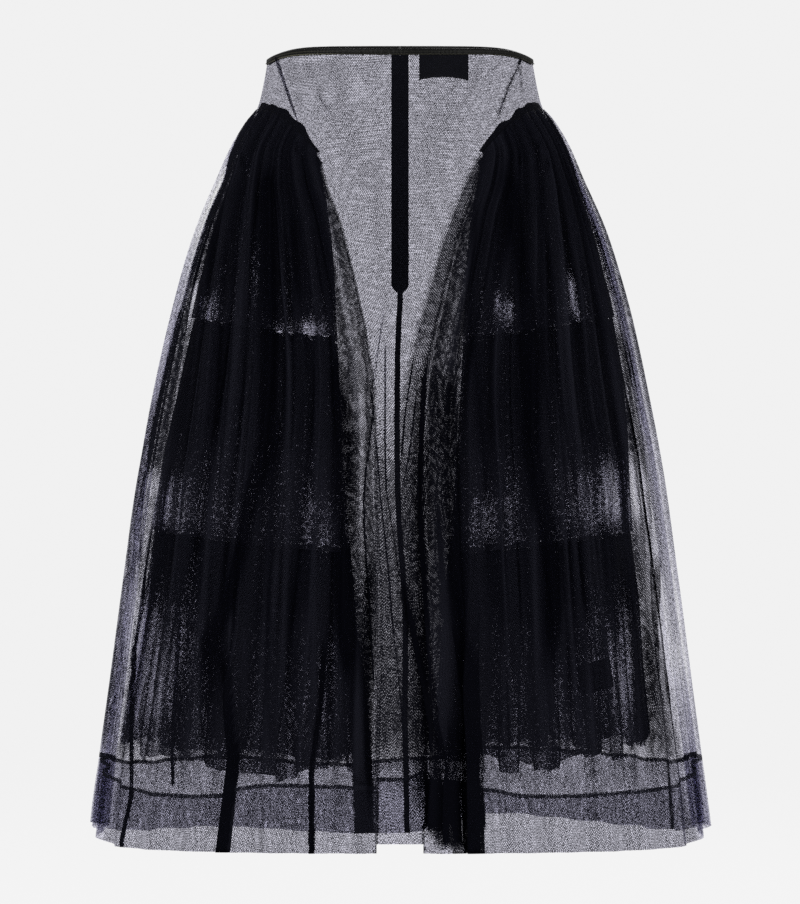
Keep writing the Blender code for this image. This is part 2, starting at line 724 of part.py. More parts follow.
def build_zip_slider(parent):
    """Slider with a bridge that the pull's top bar turns in, and the pull hanging from it."""
    cloth_y = body_point(math.pi / 2, SLIDER_AXIS_HEIGHT).y
    axis = Vector((0, cloth_y + SLIDER_AXIS_OUT, SLIDER_AXIS_HEIGHT))
    lean = math.atan2(body_point(math.pi / 2, SLIDER_AXIS_HEIGHT - 10 * MM).y - cloth_y, 10 * MM)
    frame = Matrix.Translation(axis) @ Matrix.Rotation(lean, 4, "X")

    def place(x, out, up):
        return frame @ Vector((x, out, up))

    base_low = -SLIDER_AXIS_OUT + LAY_GAP
    base_high = base_low + SLIDER_BASE_THICKNESS
    narrow, wide = 0.7 * SLIDER_HALF_WIDTH, SLIDER_HALF_WIDTH
    outline = ((wide, SLIDER_HALF_LENGTH), (wide, 0.2 * SLIDER_HALF_LENGTH),
               (narrow, -SLIDER_HALF_LENGTH))
    outer = [[place(-half, base_high, up), place(half, base_high, up)] for half, up in outline]
    inner = [[place(-half, base_low, up), place(half, base_low, up)] for half, up in outline]
    slider = solid_between("zip_slider", outer, inner, "dark_metal", parent)

    leg_outer = BRIDGE_HALF_OPENING + BRIDGE_LEG
    ups = (leg_outer, BRIDGE_HALF_OPENING, -BRIDGE_HALF_OPENING, -leg_outer)
    outs = (mix(base_low, base_high, 0.5), base_high, BRIDGE_ABOVE_AXIS,
            BRIDGE_ABOVE_AXIS + BRIDGE_BAR)
    sides = [[[place(x, out, up) for up in ups] for out in outs]
             for x in (-BRIDGE_HALF_WIDTH, BRIDGE_HALF_WIDTH)]
    bridge = solid_between("zip_bridge", sides[0], sides[1], "dark_metal", parent,
                           missing=((0, 1), (1, 1)))
    bridge.display_type = "WIRE"
    bridge.hide_render = True
    union = slider.modifiers.new("bridge", "BOOLEAN")
    union.operation = "UNION"
    union.solver = "EXACT"
    union.object = bridge
    return axis


def build_zip_pull(axis, parent):
    """The pull hangs straight down from its bar, which lies on the hinge axis."""
    hinge = bpy.data.objects.new("zip_pull_hinge", None)
    hinge.location = axis
    hinge.parent = parent
    bpy.context.scene.collection.objects.link(hinge)

    def face(y):
        grid = []
        for row in PULL:
            across = (-row.half_width, -row.window, row.window, row.half_width)
            grid.append([Vector((x, y, row.up)) for x in across])
        return grid

    solid_between("zip_pull", face(-PULL_THICKNESS / 2), face(PULL_THICKNESS / 2),
                  "dark_metal", hinge, missing=((1, 1),))


# ---------------------------------------------------------------- labels
def build_waist_label(parent):
    """A blank label that hangs from the binding on the inside of the right back panel."""
    outer, inner = [], []
    columns, rows = 6, 3
    for row in range(rows + 1):
        outer.append([])
        inner.append([])
        for column in range(columns + 1):
            x = mix(WAIST_LABEL_LEFT, WAIST_LABEL_RIGHT, column / columns)
            angle = angle_of_half_width(x, 0.0)
            top = panel_top(angle)
            arch = WAIST_LABEL_ARCH * (1 - (2 * column / columns - 1) ** 2)
            z = top - mix(0, WAIST_LABEL_HEIGHT - arch, row / rows)
            outer[-1].append(cloth_point(angle, z, -WAIST_LABEL_INSET))
            inner[-1].append(cloth_point(angle, z, -WAIST_LABEL_INSET - CLOTH))
    solid_between("waist_label", outer, inner, "label_cloth", parent)


def build_care_label(parent):
    """A blank label on the inner crests of the right petticoat's last tier, at the front."""
    tier = TIERS[-1]
    centre = Vector((CARE_LABEL_CENTRE_X, CARE_LABEL_CENTRE_Z))
    steps = 500
    depths = []
    for step in range(steps):
        share = 0.5 * step / steps
        across = body_point(petticoat_angle(share, centre.y), centre.y).x - centre.x
        if abs(across) < CARE_LABEL_HALF_WIDTH:
            depths.append(tier_depth(tier, share, centre.y, [tier.top, tier.top], 1))
    depth = max(depths) + CLOTH + LAY_GAP
    outer, inner = [], []
    columns, rows = 4, 2
    for row in range(rows + 1):
        outer.append([])
        inner.append([])
        for column in range(columns + 1):
            across = mix(-CARE_LABEL_HALF_WIDTH, CARE_LABEL_HALF_WIDTH, column / columns)
            up = mix(CARE_LABEL_HALF_HEIGHT, -CARE_LABEL_HALF_HEIGHT, row / rows)
            x, z = centre + Matrix.Rotation(CARE_LABEL_TILT, 2) @ Vector((across, up))
            angle = -angle_of_half_width(x, z)
            outer[-1].append(cloth_point(angle, z, -depth))
            inner[-1].append(cloth_point(angle, z, -depth - CLOTH))
    solid_between("care_label", outer, inner, "label_cloth", parent)


# ---------------------------------------------------------------- the skirt
def clear_scene():
    for thing in list(bpy.data.objects):
        bpy.data.objects.remove(thing, do_unlink=True)


def build_skirt():
    clear_scene()
    skirt = bpy.data.objects.new("skirt", None)
    bpy.context.scene.collection.objects.link(skirt)
    build_waist_binding(skirt)
    build_front_panel(skirt)
    build_back_panels(skirt)
    build_side_panels(skirt)
    build_hip_bindings(skirt)
    build_petticoat(skirt)
    build_zip_tapes(skirt)
    build_back_seam_binding(skirt)
    hinge_axis = build_zip_slider(skirt)
    build_zip_pull(hinge_axis, skirt)
    build_waist_label(skirt)
    build_care_label(skirt)


build_skirt()
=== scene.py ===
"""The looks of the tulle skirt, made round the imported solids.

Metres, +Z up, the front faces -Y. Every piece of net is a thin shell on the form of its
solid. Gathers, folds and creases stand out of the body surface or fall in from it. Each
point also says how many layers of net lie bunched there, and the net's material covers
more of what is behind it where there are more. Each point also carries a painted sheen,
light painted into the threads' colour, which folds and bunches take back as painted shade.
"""
import math
from collections import namedtuple

import bpy
import numpy as np
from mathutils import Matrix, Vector


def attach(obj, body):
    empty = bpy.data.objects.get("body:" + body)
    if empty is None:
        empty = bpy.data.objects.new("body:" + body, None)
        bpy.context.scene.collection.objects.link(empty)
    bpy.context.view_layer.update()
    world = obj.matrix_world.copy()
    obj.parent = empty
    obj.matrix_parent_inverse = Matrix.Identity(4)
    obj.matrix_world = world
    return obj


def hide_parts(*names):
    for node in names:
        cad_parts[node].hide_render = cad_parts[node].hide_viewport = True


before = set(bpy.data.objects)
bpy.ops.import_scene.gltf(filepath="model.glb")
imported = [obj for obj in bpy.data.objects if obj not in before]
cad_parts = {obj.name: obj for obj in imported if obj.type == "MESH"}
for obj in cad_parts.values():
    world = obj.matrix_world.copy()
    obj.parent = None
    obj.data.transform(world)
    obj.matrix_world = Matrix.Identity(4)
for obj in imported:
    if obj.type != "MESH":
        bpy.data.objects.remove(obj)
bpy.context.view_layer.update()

MM = 0.001
FRONT, BACK = -1, 1           # the sign of Y
LEFT, RIGHT = -1, 1           # the sign of X
SIDE_NAMES = {LEFT: "left", RIGHT: "right"}
TO_BACK = math.pi / 2         # the angle round the waist at which the zip is


class Table:
    """Rows of numbers that fall in the first column, read on a smooth curve through them. They
    are in millimetres, apart from the columns whose names end in a star."""

    def __init__(self, names, *rows):
        self.columns = {}
        for name, column in zip(names.split(), zip(*rows)):
            values = np.array(column[::-1], float)
            self.columns[name.strip("*")] = values if name.endswith("*") else values * MM
        self.keys = next(iter(self.columns.values()))

    def read(self, at, column):
        """Values of a column where the first one is `at`."""
        keys, values = self.keys, self.columns[column]
        before = np.maximum(np.arange(len(keys)) - 1, 0)
        after = np.minimum(np.arange(len(keys)) + 1, len(keys) - 1)
        slopes = (values[after] - values[before]) / (keys[after] - keys[before])
        at = np.asarray(at, float)
        held = np.clip(at, keys[0], keys[-1])
        low = np.clip(np.searchsorted(keys, held) - 1, 0, len(keys) - 2)
        span = keys[low + 1] - keys[low]
        share = (held - keys[low]) / span
        curve = (values[low] * (2 * share ** 3 - 3 * share ** 2 + 1)
                 + slopes[low] * span * (share ** 3 - 2 * share ** 2 + share)
                 + values[low + 1] * (3 * share ** 2 - 2 * share ** 3)
                 + slopes[low + 1] * span * (share ** 3 - share ** 2))
        end_slope = np.where(at > keys[-1], slopes[-1], slopes[0])
        return curve + end_slope * (at - held)


# ---------------------------------------------------------------- the skirt's form
HEM_HEIGHT = -758 * MM
HEM_SIDE_RISE = 15 * MM
HEM_RISE_POWER = 30
FRONT_GORE_RISE = 8.5 * MM
BINDING_HEIGHT = 8 * MM
WAIST_MEAN = 10.5 * MM
WAIST_BACK_LIFT = 9.5 * MM
WAIST_SIDE_DROP = 11.5 * MM
WAIST_DROP_POWER = 8
HIP_SEAM_SIDE = -50 * MM
HIP_SEAM_INNER = -97 * MM
HIP_SEAM_POWER = 3
SIDE_WAVES = 18
TIER_WAVES = 12
WALL = 1.0 * MM
ZIP_END = -222.7 * MM
SEAM_GAP = 0.3 * MM

BODY = Table(
    "z half_width half_depth squareness*",
    (22, 127, 96, 2), (0, 128.5, 98, 2), (-30, 133.7, 101.5, 2), (-48, 138.5, 104, 2.02),
    (-70, 149.5, 106.5, 2.05), (-90, 159.5, 109, 2.08), (-120, 171, 112.5, 2.12),
    (-170, 192, 117.5, 2.2), (-225, 208.5, 122.5, 2.27), (-300, 226, 129, 2.35),
    (-400, 245, 137.5, 2.44), (-500, 258.5, 144.5, 2.52), (-600, 271.5, 150.5, 2.58),
    (-700, 285, 156, 2.6), (-760, 291.5, 158.5, 2.6),
)
GORE = Table(
    "z half_width",
    (-97, 78.5), (-130, 70), (-155, 60), (-190, 50.5), (-230, 41), (-270, 32), (-320, 25),
    (-380, 22.5), (-760, 22),
)
GORE_TOP, GORE_HEM = GORE.columns["half_width"][[-1, 0]]      # its half widths there
PETTICOAT_EDGE = Table(
    "z half_width",
    (-97, 80), (-170, 69), (-264, 64), (-400, 57), (-490, 49), (-625, 38), (-720, 34),
)
GATHERS = Table(
    "below depth",
    (0, 0.8), (-10, 3.8), (-30, 5.6), (-90, 7.4), (-250, 8.6), (-500, 9.6), (-720, 10),
)
GATHER_UNEVENNESS = 0.2
BACK_HEM_SWAY = Table(
    "across* rise",
    (1, 0), (0.9, 1), (0.6, 8), (0.3, 13), (0.08, -3), (-0.1, -7), (-0.3, -5), (-0.6, 1), (-1, 0),
)

Tier = namedtuple("Tier", "top bottom left_top left_bottom right_top right_bottom tight loose")
TIERS = (
    Tier(None, -268.7 * MM, 2.4 * MM, 13 * MM, 2.4 * MM, 7 * MM, 1.0 * MM, 7.0 * MM),
    Tier(-269.0 * MM, -465.3 * MM, 15 * MM, 13 * MM, 9 * MM, 27 * MM, 2.2 * MM, 8.0 * MM),
    Tier(-465.6 * MM, -680.0 * MM, 15 * MM, 8 * MM, 29 * MM, 36 * MM, 2.2 * MM, 9.0 * MM),
)
TIER_OPENING = 0.7
TIER_UNEVENNESS = 0.18


def mix(low, high, share):
    return low + (high - low) * share


def smoothstep(share):
    share = np.clip(share, 0.0, 1.0)
    return share * share * (3 - 2 * share)


def signed_power(value, power):
    return np.sign(value) * np.abs(value) ** power


def unit(vectors):
    return vectors / (np.linalg.norm(vectors, axis=-1, keepdims=True) + 1e-12)


def body_size(z):
    return [BODY.read(z, name) for name in ("half_width", "half_depth", "squareness")]


def body_point(angle, z):
    """Points of the body surface."""
    half_width, half_depth, power = body_size(z)
    x = half_width * signed_power(np.cos(angle), 2 / power)
    y = half_depth * signed_power(np.sin(angle), 2 / power)
    return np.stack(np.broadcast_arrays(x, y, z), axis=-1)


def body_normal(angle, z):
    """Outward unit normals of the body surface."""
    step = 2 * MM
    half_width, half_depth, power = body_size(z)
    above, below = body_size(z + step), body_size(z - step)
    point = body_point(angle, z)
    across, along = np.abs(point[..., 0] / half_width), np.abs(point[..., 1] / half_depth)
    return unit(np.stack(np.broadcast_arrays(
        power * np.sign(point[..., 0]) * across ** (power - 1) / half_width,
        power * np.sign(point[..., 1]) * along ** (power - 1) / half_depth,
        -power * (across ** power * (above[0] - below[0]) / half_width
                  + along ** power * (above[1] - below[1]) / half_depth) / (2 * step),
    ), axis=-1))


def body_tangent(angle, z):
    """Unit tangents of the body surface, level and towards growing angles."""
    step = 1e-3
    return unit(body_point(angle + step, z) - body_point(angle - step, z))


def angle_of_half_width(x, z):
    half_width, _, power = body_size(z)
    return np.arccos(np.clip(x / half_width, 0, 1) ** (power / 2))


def edge_angle(z, edge):
    z = np.minimum(z, HIP_SEAM_INNER)
    return angle_of_half_width(edge.read(z, "half_width"), z)


HIP_SEAM_ANGLE = float(edge_angle(HIP_SEAM_INNER, GORE))


class ArcMap:
    """Goes from shares of the arc, from the front edge round to the back one, to angles."""

    def __init__(self, edge_table):
        self.levels = np.linspace(-790 * MM, -40 * MM, 151)
        self.steps = 300
        angles, arcs = [], []
        for z in self.levels:
            reach = edge_angle(z, edge_table)
            fine = np.linspace(-reach, reach, 501)
            along = np.linalg.norm(np.diff(body_point(fine, z), axis=0), axis=1).cumsum()
            along = np.concatenate([[0], along])
            arcs.append(along[-1])
            angles.append(np.interp(np.linspace(0, 1, self.steps + 1), along / along[-1], fine))
        self.angles, self.arcs = np.array(angles), np.array(arcs)

    def angle(self, share, z):
        row = (z - self.levels[0]) / (self.levels[1] - self.levels[0])
        row = np.clip(row, 0, len(self.levels) - 1.001)
        column = np.clip(share * self.steps, 0, self.steps - 0.001)
        low_row, low_column = row.astype(int), column.astype(int)
        across = column - low_column
        upper, lower = [mix(self.angles[low_row + next_row, low_column],
                            self.angles[low_row + next_row, low_column + 1], across)
                        for next_row in (0, 1)]
        return mix(upper, lower, row - low_row)

    def arc(self, z):
        return np.interp(z, self.levels, self.arcs)


SIDE_ARC = ArcMap(GORE)
TIER_ARC = ArcMap(PETTICOAT_EDGE)


def waist_top(angle):
    return (WAIST_MEAN + WAIST_BACK_LIFT * np.sin(angle)
            - WAIST_SIDE_DROP * np.abs(np.cos(angle)) ** WAIST_DROP_POWER)


def hip_seam(angle):
    share = np.minimum(np.abs(angle) / HIP_SEAM_ANGLE, 1.0)
    return mix(HIP_SEAM_SIDE, HIP_SEAM_INNER, share ** HIP_SEAM_POWER)


def hem_height(angle, side):
    """Height of the hem at angles of the given side."""
    half_width, half_depth, _ = body_size(np.array(HEM_HEIGHT))
    point = body_point(angle, np.array(HEM_HEIGHT))
    across = np.abs(point[..., 0]) / half_width
    to_back = smoothstep(0.5 + point[..., 1] / half_depth)
    sway = BACK_HEM_SWAY.read(across * side, "rise") * to_back
    return HEM_HEIGHT + HEM_SIDE_RISE * across ** HEM_RISE_POWER + sway


def top_of(arc_map, shares, below_seam):
    """Heights where a gathered piece's columns meet the hip seam."""
    z = np.full(len(shares), HIP_SEAM_SIDE)
    for _ in range(14):
        z = mix(z, hip_seam(arc_map.angle(shares, z)) - below_seam, 0.8)
    return z


def gather_wave(shares, waves, side):
    """Waves from 0 to 1 across a gathered piece, and how uneven each is, from -1 to 1."""
    number = np.minimum((shares * waves).astype(int), waves - 1)
    uneven = np.sin(2.4 * number + 1.3 * side) * np.cos(0.7 * number)
    return (1 - np.cos(2 * math.pi * shares * waves)) / 2, uneven


# ---------------------------------------------------------------- net and how much it covers
NET_PITCH = 1.75 * MM         # between the centres of two holes
NET_COVER = 0.40              # share that one flat layer of net covers
WAVE_TURNS = (math.pi / 2, math.pi / 6, -math.pi / 6)
WAVE_NUMBER = 4 * math.pi / (math.sqrt(3) * NET_PITCH)
SHARP, SOFT = 2.4, 0.30       # slope of the thread's edge in one layer and in many
SOFT_FROM, SOFT_TO = 0.9, 2.4      # layers between which it grows soft
MOST_LAYERS = 9.0
EDGE_ON = 0.35                # cosine past which cloth seen from its edge gets no denser


def net_relief():
    """Heights of the net's relief over one repeat, from -1.5 to 3."""
    across = np.linspace(0, 1, 60, endpoint=False)
    u, v = np.meshgrid(across * NET_PITCH, across * NET_PITCH * math.sqrt(3))
    return sum(np.cos(WAVE_NUMBER * (u * math.cos(turn) + v * math.sin(turn)))
               for turn in WAVE_TURNS).ravel()


def net_sharpness(layers):
    """Where many layers lie on each other, their threads fill each other's holes."""
    return SHARP * (SOFT / SHARP) ** smoothstep((layers - SOFT_FROM) / (SOFT_TO - SOFT_FROM))


def level_table():
    """Counts of layers and the heights where the relief is cut to cover as much as they do."""
    counts, relief, levels = np.linspace(0, MOST_LAYERS, 91), net_relief(), []
    for layers in counts:
        wanted, low, high = 1 - (1 - NET_COVER) ** layers, -6.0, 9.0
        for _ in range(30):
            level = (low + high) / 2
            cover = np.clip(0.5 + (level - relief) * net_sharpness(layers), 0, 1).mean()
            low, high = (level, high) if cover < wanted else (low, level)
        levels.append(level)
    return counts, np.array(levels)


LAYER_COUNTS, CUT_LEVELS = level_table()


def standing(points, along):
    """Layers that cloth shows by standing off the body, of which `along` are the tangents."""
    across = unit(np.gradient(points, axis=1))
    return 1 / np.maximum(np.abs((across * along).sum(-1)), EDGE_ON)


# ---------------------------------------------------------------- folds and creases
# A fold runs down its path of (x, z) points in millimetres. It shows as a strip of twice its
# half width with the cloth lying in three layers, a lift apart, and as many more as its layers.
# Each row: face, half width, lift, layers, path.
FOLDS = (
    # the centre
    (FRONT, 1.0, 3, 0.6, ((-30, -307), (-25, -341), (-27, -361), (-32, -399), (-34, -427),
        (-33, -465), (-29, -521), (-24, -615))),
    (FRONT, 0.8, 2, 0.6, ((-20, -307), (-23, -328), (-25, -343))),
    (FRONT, 0.9, 2, 0.5, ((-14, -267), (-14, -380), (-13, -418), (-10, -436), (-5, -469),
        (2, -521))),
    (BACK, 0.9, 2, 0.5, ((-23, -355), (-20, -390), (-15, -470), (-13, -550), (-4, -630),
        (-1, -688))),
    (FRONT, 1.0, 2, 0.8, ((15, -280), (9, -318), (4, -352), (2, -380), (0, -404))),
    (BACK, 1.0, 2, 0.4, ((20, -310), (15, -360), (11, -390), (5, -415), (2, -430))),
    (FRONT, 2.4, 3, 2.5, ((28, -282), (23, -314), (21, -352), (18, -418), (20, -465), (26, -559),
        (32, -615), (35, -668))),
    (FRONT, 3.6, 4, 3.5, ((0, -483), (4, -510), (9, -534), (17, -573), (24, -611), (27, -642),
        (28, -676))),
    (BACK, 3.0, 4, 2.0, ((37, -410), (40, -490), (45, -570), (50, -688))),
    (BACK, 0.8, 2, 0.6, ((-29, -659), (-22, -676), (-14, -691))),
    # down to the front hem
    (FRONT, 5.2, 6, 4.2, ((-161, -540), (-161, -600), (-154, -668), (-165, -759))),
    (FRONT, 2.4, 4, 3.0, ((-70, -540), (-73, -615), (-82, -681), (-82, -761))),
    (FRONT, 3.4, 5, 6.0, ((27, -650), (27, -699), (26, -737))),
    (FRONT, 5.4, 3, 4.6, ((40, -612), (41, -668), (41, -709), (41, -749))),
    (FRONT, 4.5, 1, 2.0, ((50, -600), (53, -670), (54, -755))),
    (FRONT, 8.2, 6, 4.2, ((58, -483), (62, -559), (69, -668), (70, -758))),
    (FRONT, 0.9, 3, 1.0, ((-241, -559), (-250, -668), (-252, -706), (-259, -752))),
    # down to the back hem
    (BACK, 8.5, 6, 4.0, ((-51, -490), (-44, -610), (-40, -701), (-39, -765))),
    (BACK, 1.0, 3, 0.8, ((-214, -530), (-220, -630), (-223, -688), (-223, -715))),
    (BACK, 1.1, 2, 3.2, ((246, -480), (249, -530), (256, -640), (260, -690), (264, -758))),
    # the outer sides
    (FRONT, 0.9, 2, 0.6, ((-232, -483), (-236, -532), (-241, -559), (-253, -596), (-265, -620),
        (-276, -648))),
    (FRONT, 0.8, 2, 0.8, ((-245, -549), (-256, -559), (-259, -570), (-260, -596), (-265, -615))),
    (FRONT, 1.0, 2, 0.6, ((-233, -380), (-241, -427), (-253, -483), (-263, -521))),
    (FRONT, 1.8, 4, 2.4, ((212, -314), (221, -371), (230, -446), (238, -493), (245, -559),
        (252, -634))),
    (FRONT, 0.8, 1.5, 0.5, ((230, -352), (241, -446), (252, -521), (258, -575))),
    # the yoke and the zip's end
    (FRONT, 1.2, 1.0, 0.45, ((-126, 14), (-117, -11), (-106, -44), (-93, -80))),
    (FRONT, 1.1, 1.5, 0.2, ((-86, -29), (-73, -51), (-57, -74))),
    (FRONT, 1.0, 1.2, 0.5, ((112, 8), (96, -10), (85, -21), (69, -33))),
    (FRONT, 1.6, 1.5, 1.2, ((126, 18), (113, -13), (104, -33), (97, -53), (89, -75))),
    (FRONT, 1.2, 1.2, 0.8, ((113, 15), (116, -11), (118, -50))),
    (BACK, 0.8, 1.2, 0.2, ((-14, -230), (-20, -280), (-30, -350))),
    (BACK, 0.8, 1.2, 0.2, ((11, -232), (20, -260), (24, -290))),
)
FOLD_FADE = 25 * MM           # over which a fold grows out of the flat cloth
FOLD_FADE_WIDTHS = 18         # or this many half widths, where that is more
HEM_REACH = -752 * MM         # folds that end below this run over the hem
NEAR_HEM = -700 * MM          # folds that end between the two hang free and end sharply
SHARP_END = 3 * MM
END_SLANT = 0.25
FOLD_REACH = 5                # half widths beyond which a fold moves nothing
FOLD_SIDE_PULL = 3.0          # past 1, the cloth doubles back on itself
FOLD_LIFT = 1.6
LAYERED = 1.93                # half of the cloth that lies in a fold, in its half widths
RIBS = ((0.22, 4.3, 60), (0.12, 9.1, -170))       # share, and how often across and down


def beside(path, half_width, x, z):
    """A path from its end up, and how many half widths beside it each point lies."""
    path = np.array(path[::-1]) * MM
    return path, (x - np.interp(z, path[:, 1], path[:, 0])) / (half_width * MM)


def fold_field(x, z, facing):
    """Sideways and outward shifts of cloth at x and z, and the layers bunched in its folds."""
    sideways, outward, layers = np.zeros((3,) + x.shape)
    for face, half_width, lift, more, path in FOLDS:
        path, t = beside(path, half_width, x, z)
        near = (np.abs(t) < FOLD_REACH) & (facing * face > 0) & (z < path[-1, 1])
        if not near.any():
            continue
        slow = max(FOLD_FADE, FOLD_FADE_WIDTHS * half_width * MM)
        there = smoothstep((path[-1, 1] - z) / slow)
        if path[0, 1] > HEM_REACH:
            fade = SHARP_END if path[0, 1] < NEAR_HEM else FOLD_FADE
            slant = END_SLANT * (x - path[0, 0])
            there = there * smoothstep((z - path[0, 1] + slant) / fade)
        there = there * near
        bell = t * np.exp(-t * t / 2) * there
        sideways -= FOLD_SIDE_PULL * half_width * MM * bell
        outward += FOLD_LIFT * lift * MM * bell
        ribbed = sum((share * np.sin(across * t + down * z) for share, across, down in RIBS), 1)
        layers += more * there * (np.abs(t) < LAYERED) * ribbed
    return sideways, outward, layers


# Soft bunches of gathers: broad ridges without a doubled edge. Each row: half width, lift,
# layers, path.
BUNCHES = (
    (9, 5, 1.9, ((-122, -98), (-122, -192), (-122, -290), (-123, -372), (-136, -418), (-150, -483),
        (-159, -521), (-176, -559), (-184, -640))),
    (4, 3, 1.2, ((-103, -136), (-100, -188), (-98, -232), (-100, -290))),
    (6.5, 3, 4.6, ((-61, -285), (-56, -330), (-53, -360), (-53, -521), (-48, -618))),
    (7, 2, 1.4, ((222, -470), (234, -560), (236, -640), (238, -720))),
    (6, 3, 0.9, ((-150, -115), (-176, -180), (-196, -240), (-208, -300))),
    (5, 4, 0.9, ((-112, -330), (-118, -420), (-122, -520), (-120, -640), (-118, -720))),
    (6, 4, 0.8, ((-215, -400), (-232, -490), (-243, -580), (-252, -690))),
    (9, 5, 1.9, ((98, -98), (108, -174), (118, -241), (122, -300), (122, -380), (131, -427),
        (141, -474), (142, -530), (138, -620))),
    (5, 3, 1.0, ((150, -98), (174, -194), (190, -270), (199, -345))),
    (12, 5, 1.8, ((40, -290), (44, -350), (49, -447), (53, -510), (54, -590))),
    (4.5, 1, 2.2, ((-30, -470), (-30, -600), (-28, -740))),
    (6, 2, 1.0, ((-42, -340), (-42, -400), (-40, -520), (-37, -640))),
    (5, 2, 2.2, ((24, -350), (23, -400), (24, -500), (27, -590))),
    (4, 3, 0.9, ((70, -130), (66, -220), (72, -330), (80, -430), (82, -540))),
    (5, 4, 0.8, ((176, -330), (190, -430), (202, -540), (208, -650), (210, -730))),
)
GORE_BUNCHES = (              # gathers that fall over the gore's seams, and the yoke's soft creases
    (8, 2, 1.9, ((26, -285), (22, -314), (20, -352), (20, -420), (22, -560), (26, -760))),
    (9, 2, 1.0, ((12, -350), (12, -380), (12, -460), (14, -560), (16, -760))),
    (4, 2, 0.25, ((-98, 20), (-84, -24), (-68, -54), (-56, -84), (-46, -130))),
    (6, 2, 0.2, ((-76, 20), (-66, -10), (-50, -60), (-38, -110), (-30, -170))),
    (5, 2, 0.3, ((-112, 10), (-98, -40), (-82, -80))),
    (5, 2, 0.2, ((88, 20), (74, -20), (56, -60), (44, -110))),
    (7, 2, 0.2, ((60, 20), (48, -40), (38, -100), (32, -160))),
    (6, 2, 0.15, ((-30, -60), (-26, -130), (-20, -200), (-18, -260))),
    (6, 2, 0.15, ((30, 10), (26, -60), (22, -130), (20, -200))),
)
BUNCH_START, BUNCH_END = 40 * MM, 90 * MM      # over which a bunch grows and runs out
BACK_BUNCHING = 0.6           # the same bunches at the back hold less
BUNCH_DARKENS = 1.4           # layers of a bunch that take away all painted sheen, as painted shade
FOLD_DARKENS = 3.0            # and of a fold


def bunch_field(bunches, x, z, facing):
    """Outward shifts and extra layers of the soft bunches."""
    outward, layers = np.zeros((2,) + x.shape)
    for half_width, lift, more, path in bunches:
        path, t = beside(path, half_width, x, z)
        ends = (smoothstep((path[-1, 1] - z) / BUNCH_START)
                * smoothstep((z - path[0, 1]) / BUNCH_END))
        bell = np.exp(-t * t) * ends * np.where(facing < 0, 1, BACK_BUNCHING)
        outward += lift * MM * bell
        layers += more * bell
    return outward, layers


def painted_shade_in_folds(sheen, bunched, soft_layers=0):
    """Painted sheen, with painted shade in the folds and soft bunches, which take away some of it."""
    sheen = sheen * (1 - np.clip(soft_layers / BUNCH_DARKENS, 0, 0.95))
    return sheen * (1 - np.clip(bunched / FOLD_DARKENS, 0, 0.85))


# The right side panel's gathers fall over the front gore, up to a clear edge
OVERLAP = Table(
    "z edge layers*",
    (-98, 75, 3.6), (-138, 57, 3.4), (-190, 38.5, 3.2), (-239, 24.5, 3), (-267, 16.5, 2.4),
    (-295, 10, 1.7), (-330, 1.5, 1.1), (-368, 0, 0.8), (-410, 0, 0.3), (-450, 0, 0), (-800, 0, 0),
)
OVERLAP_EDGE = 2.5 * MM
OVERLAP_CREASE = 0.8          # more layers right at that edge
OVERLAP_CREASED = 0.5         # where there are more layers than this
OVERLAP_START = 8 * MM


def overlap_layers(x, z):
    """Layers that lie on the front gore where the right side panel falls over it."""
    past_edge = x - OVERLAP.read(z, "edge")
    layers = OVERLAP.read(z, "layers")
    crease = OVERLAP_CREASE * np.exp(-(past_edge / OVERLAP_EDGE) ** 2)
    covered = np.maximum(layers, 0) * smoothstep(past_edge / OVERLAP_EDGE)
    return (covered + crease * (layers > OVERLAP_CREASED)) * smoothstep(
        (HIP_SEAM_INNER - z) / OVERLAP_START)


# Places where little of the gathered cloth hangs, so that light comes through. Each row: x, z,
# half width, half height, share of the layers that is left.
WINDOWS = (
    # over the seams between the tiers
    (-188, -240, 15, 22, 0.2), (-89, -262, 20, 12, 0.2), (-118, -262, 10, 9, 0.3),
    (-140, -201, 8, 34, 0.6), (96, -240, 6, 18, 0.25), (107, -244, 5, 16, 0.3),
    (166, -226, 7, 22, 0.25), (176, -246, 7, 12, 0.3), (206, -240, 8, 26, 0.5),
    (222, -418, 32, 38, 0.2), (178, -424, 24, 34, 0.55), (-224, -428, 22, 32, 0.27),
    (-242, -432, 15, 30, 0.28), (-71, -452, 22, 31, 0.45), (-180, -440, 20, 26, 0.9),
    (84, -446, 17, 26, 0.5),
    # low down at the sides
    (216, -573, 18, 80, 0.42), (-252, -575, 24, 92, 0.27), (-97, -613, 39, 53, 0.75),
    (-238, -575, 15, 60, 0.65), (190, -575, 36, 70, 0.68), (108, -600, 14, 60, 0.7),
    (164, -640, 10, 50, 0.7), (-214, -560, 14, 60, 0.7),
    # between the gathers under the hip seams
    (-147, -103, 1.6, 13, 0.2), (-134, -86, 1.4, 10, 0.2), (-121, -80, 1.4, 8, 0.25),
    (-97, -92, 1.8, 8, 0.2), (-78, -100, 1.4, 9, 0.2), (78, -96, 1.4, 9, 0.2),
    (95, -100, 2, 9, 0.2), (131, -94, 1.6, 12, 0.2), (137, -110, 1.6, 10, 0.25),
    (112, -104, 1.4, 8, 0.25),
)
FINE_CLOSES = 0.5             # how much of a window fine gathers close again


def window_field(x, z, fine):
    """The share of the layers that is left in the windows, where fine gathers still stand."""
    share = np.ones(x.shape)
    for x_middle, z_middle, half_width, half_height, left in WINDOWS:
        across = (x / MM - x_middle) / half_width
        up = (z / MM - z_middle) / half_height
        open_here = np.exp(-(across ** 4 + up ** 4)) * np.clip(0.95 - FINE_CLOSES * fine, 0.2, 1.05)
        share *= 1 - (1 - left) * open_here
    return share


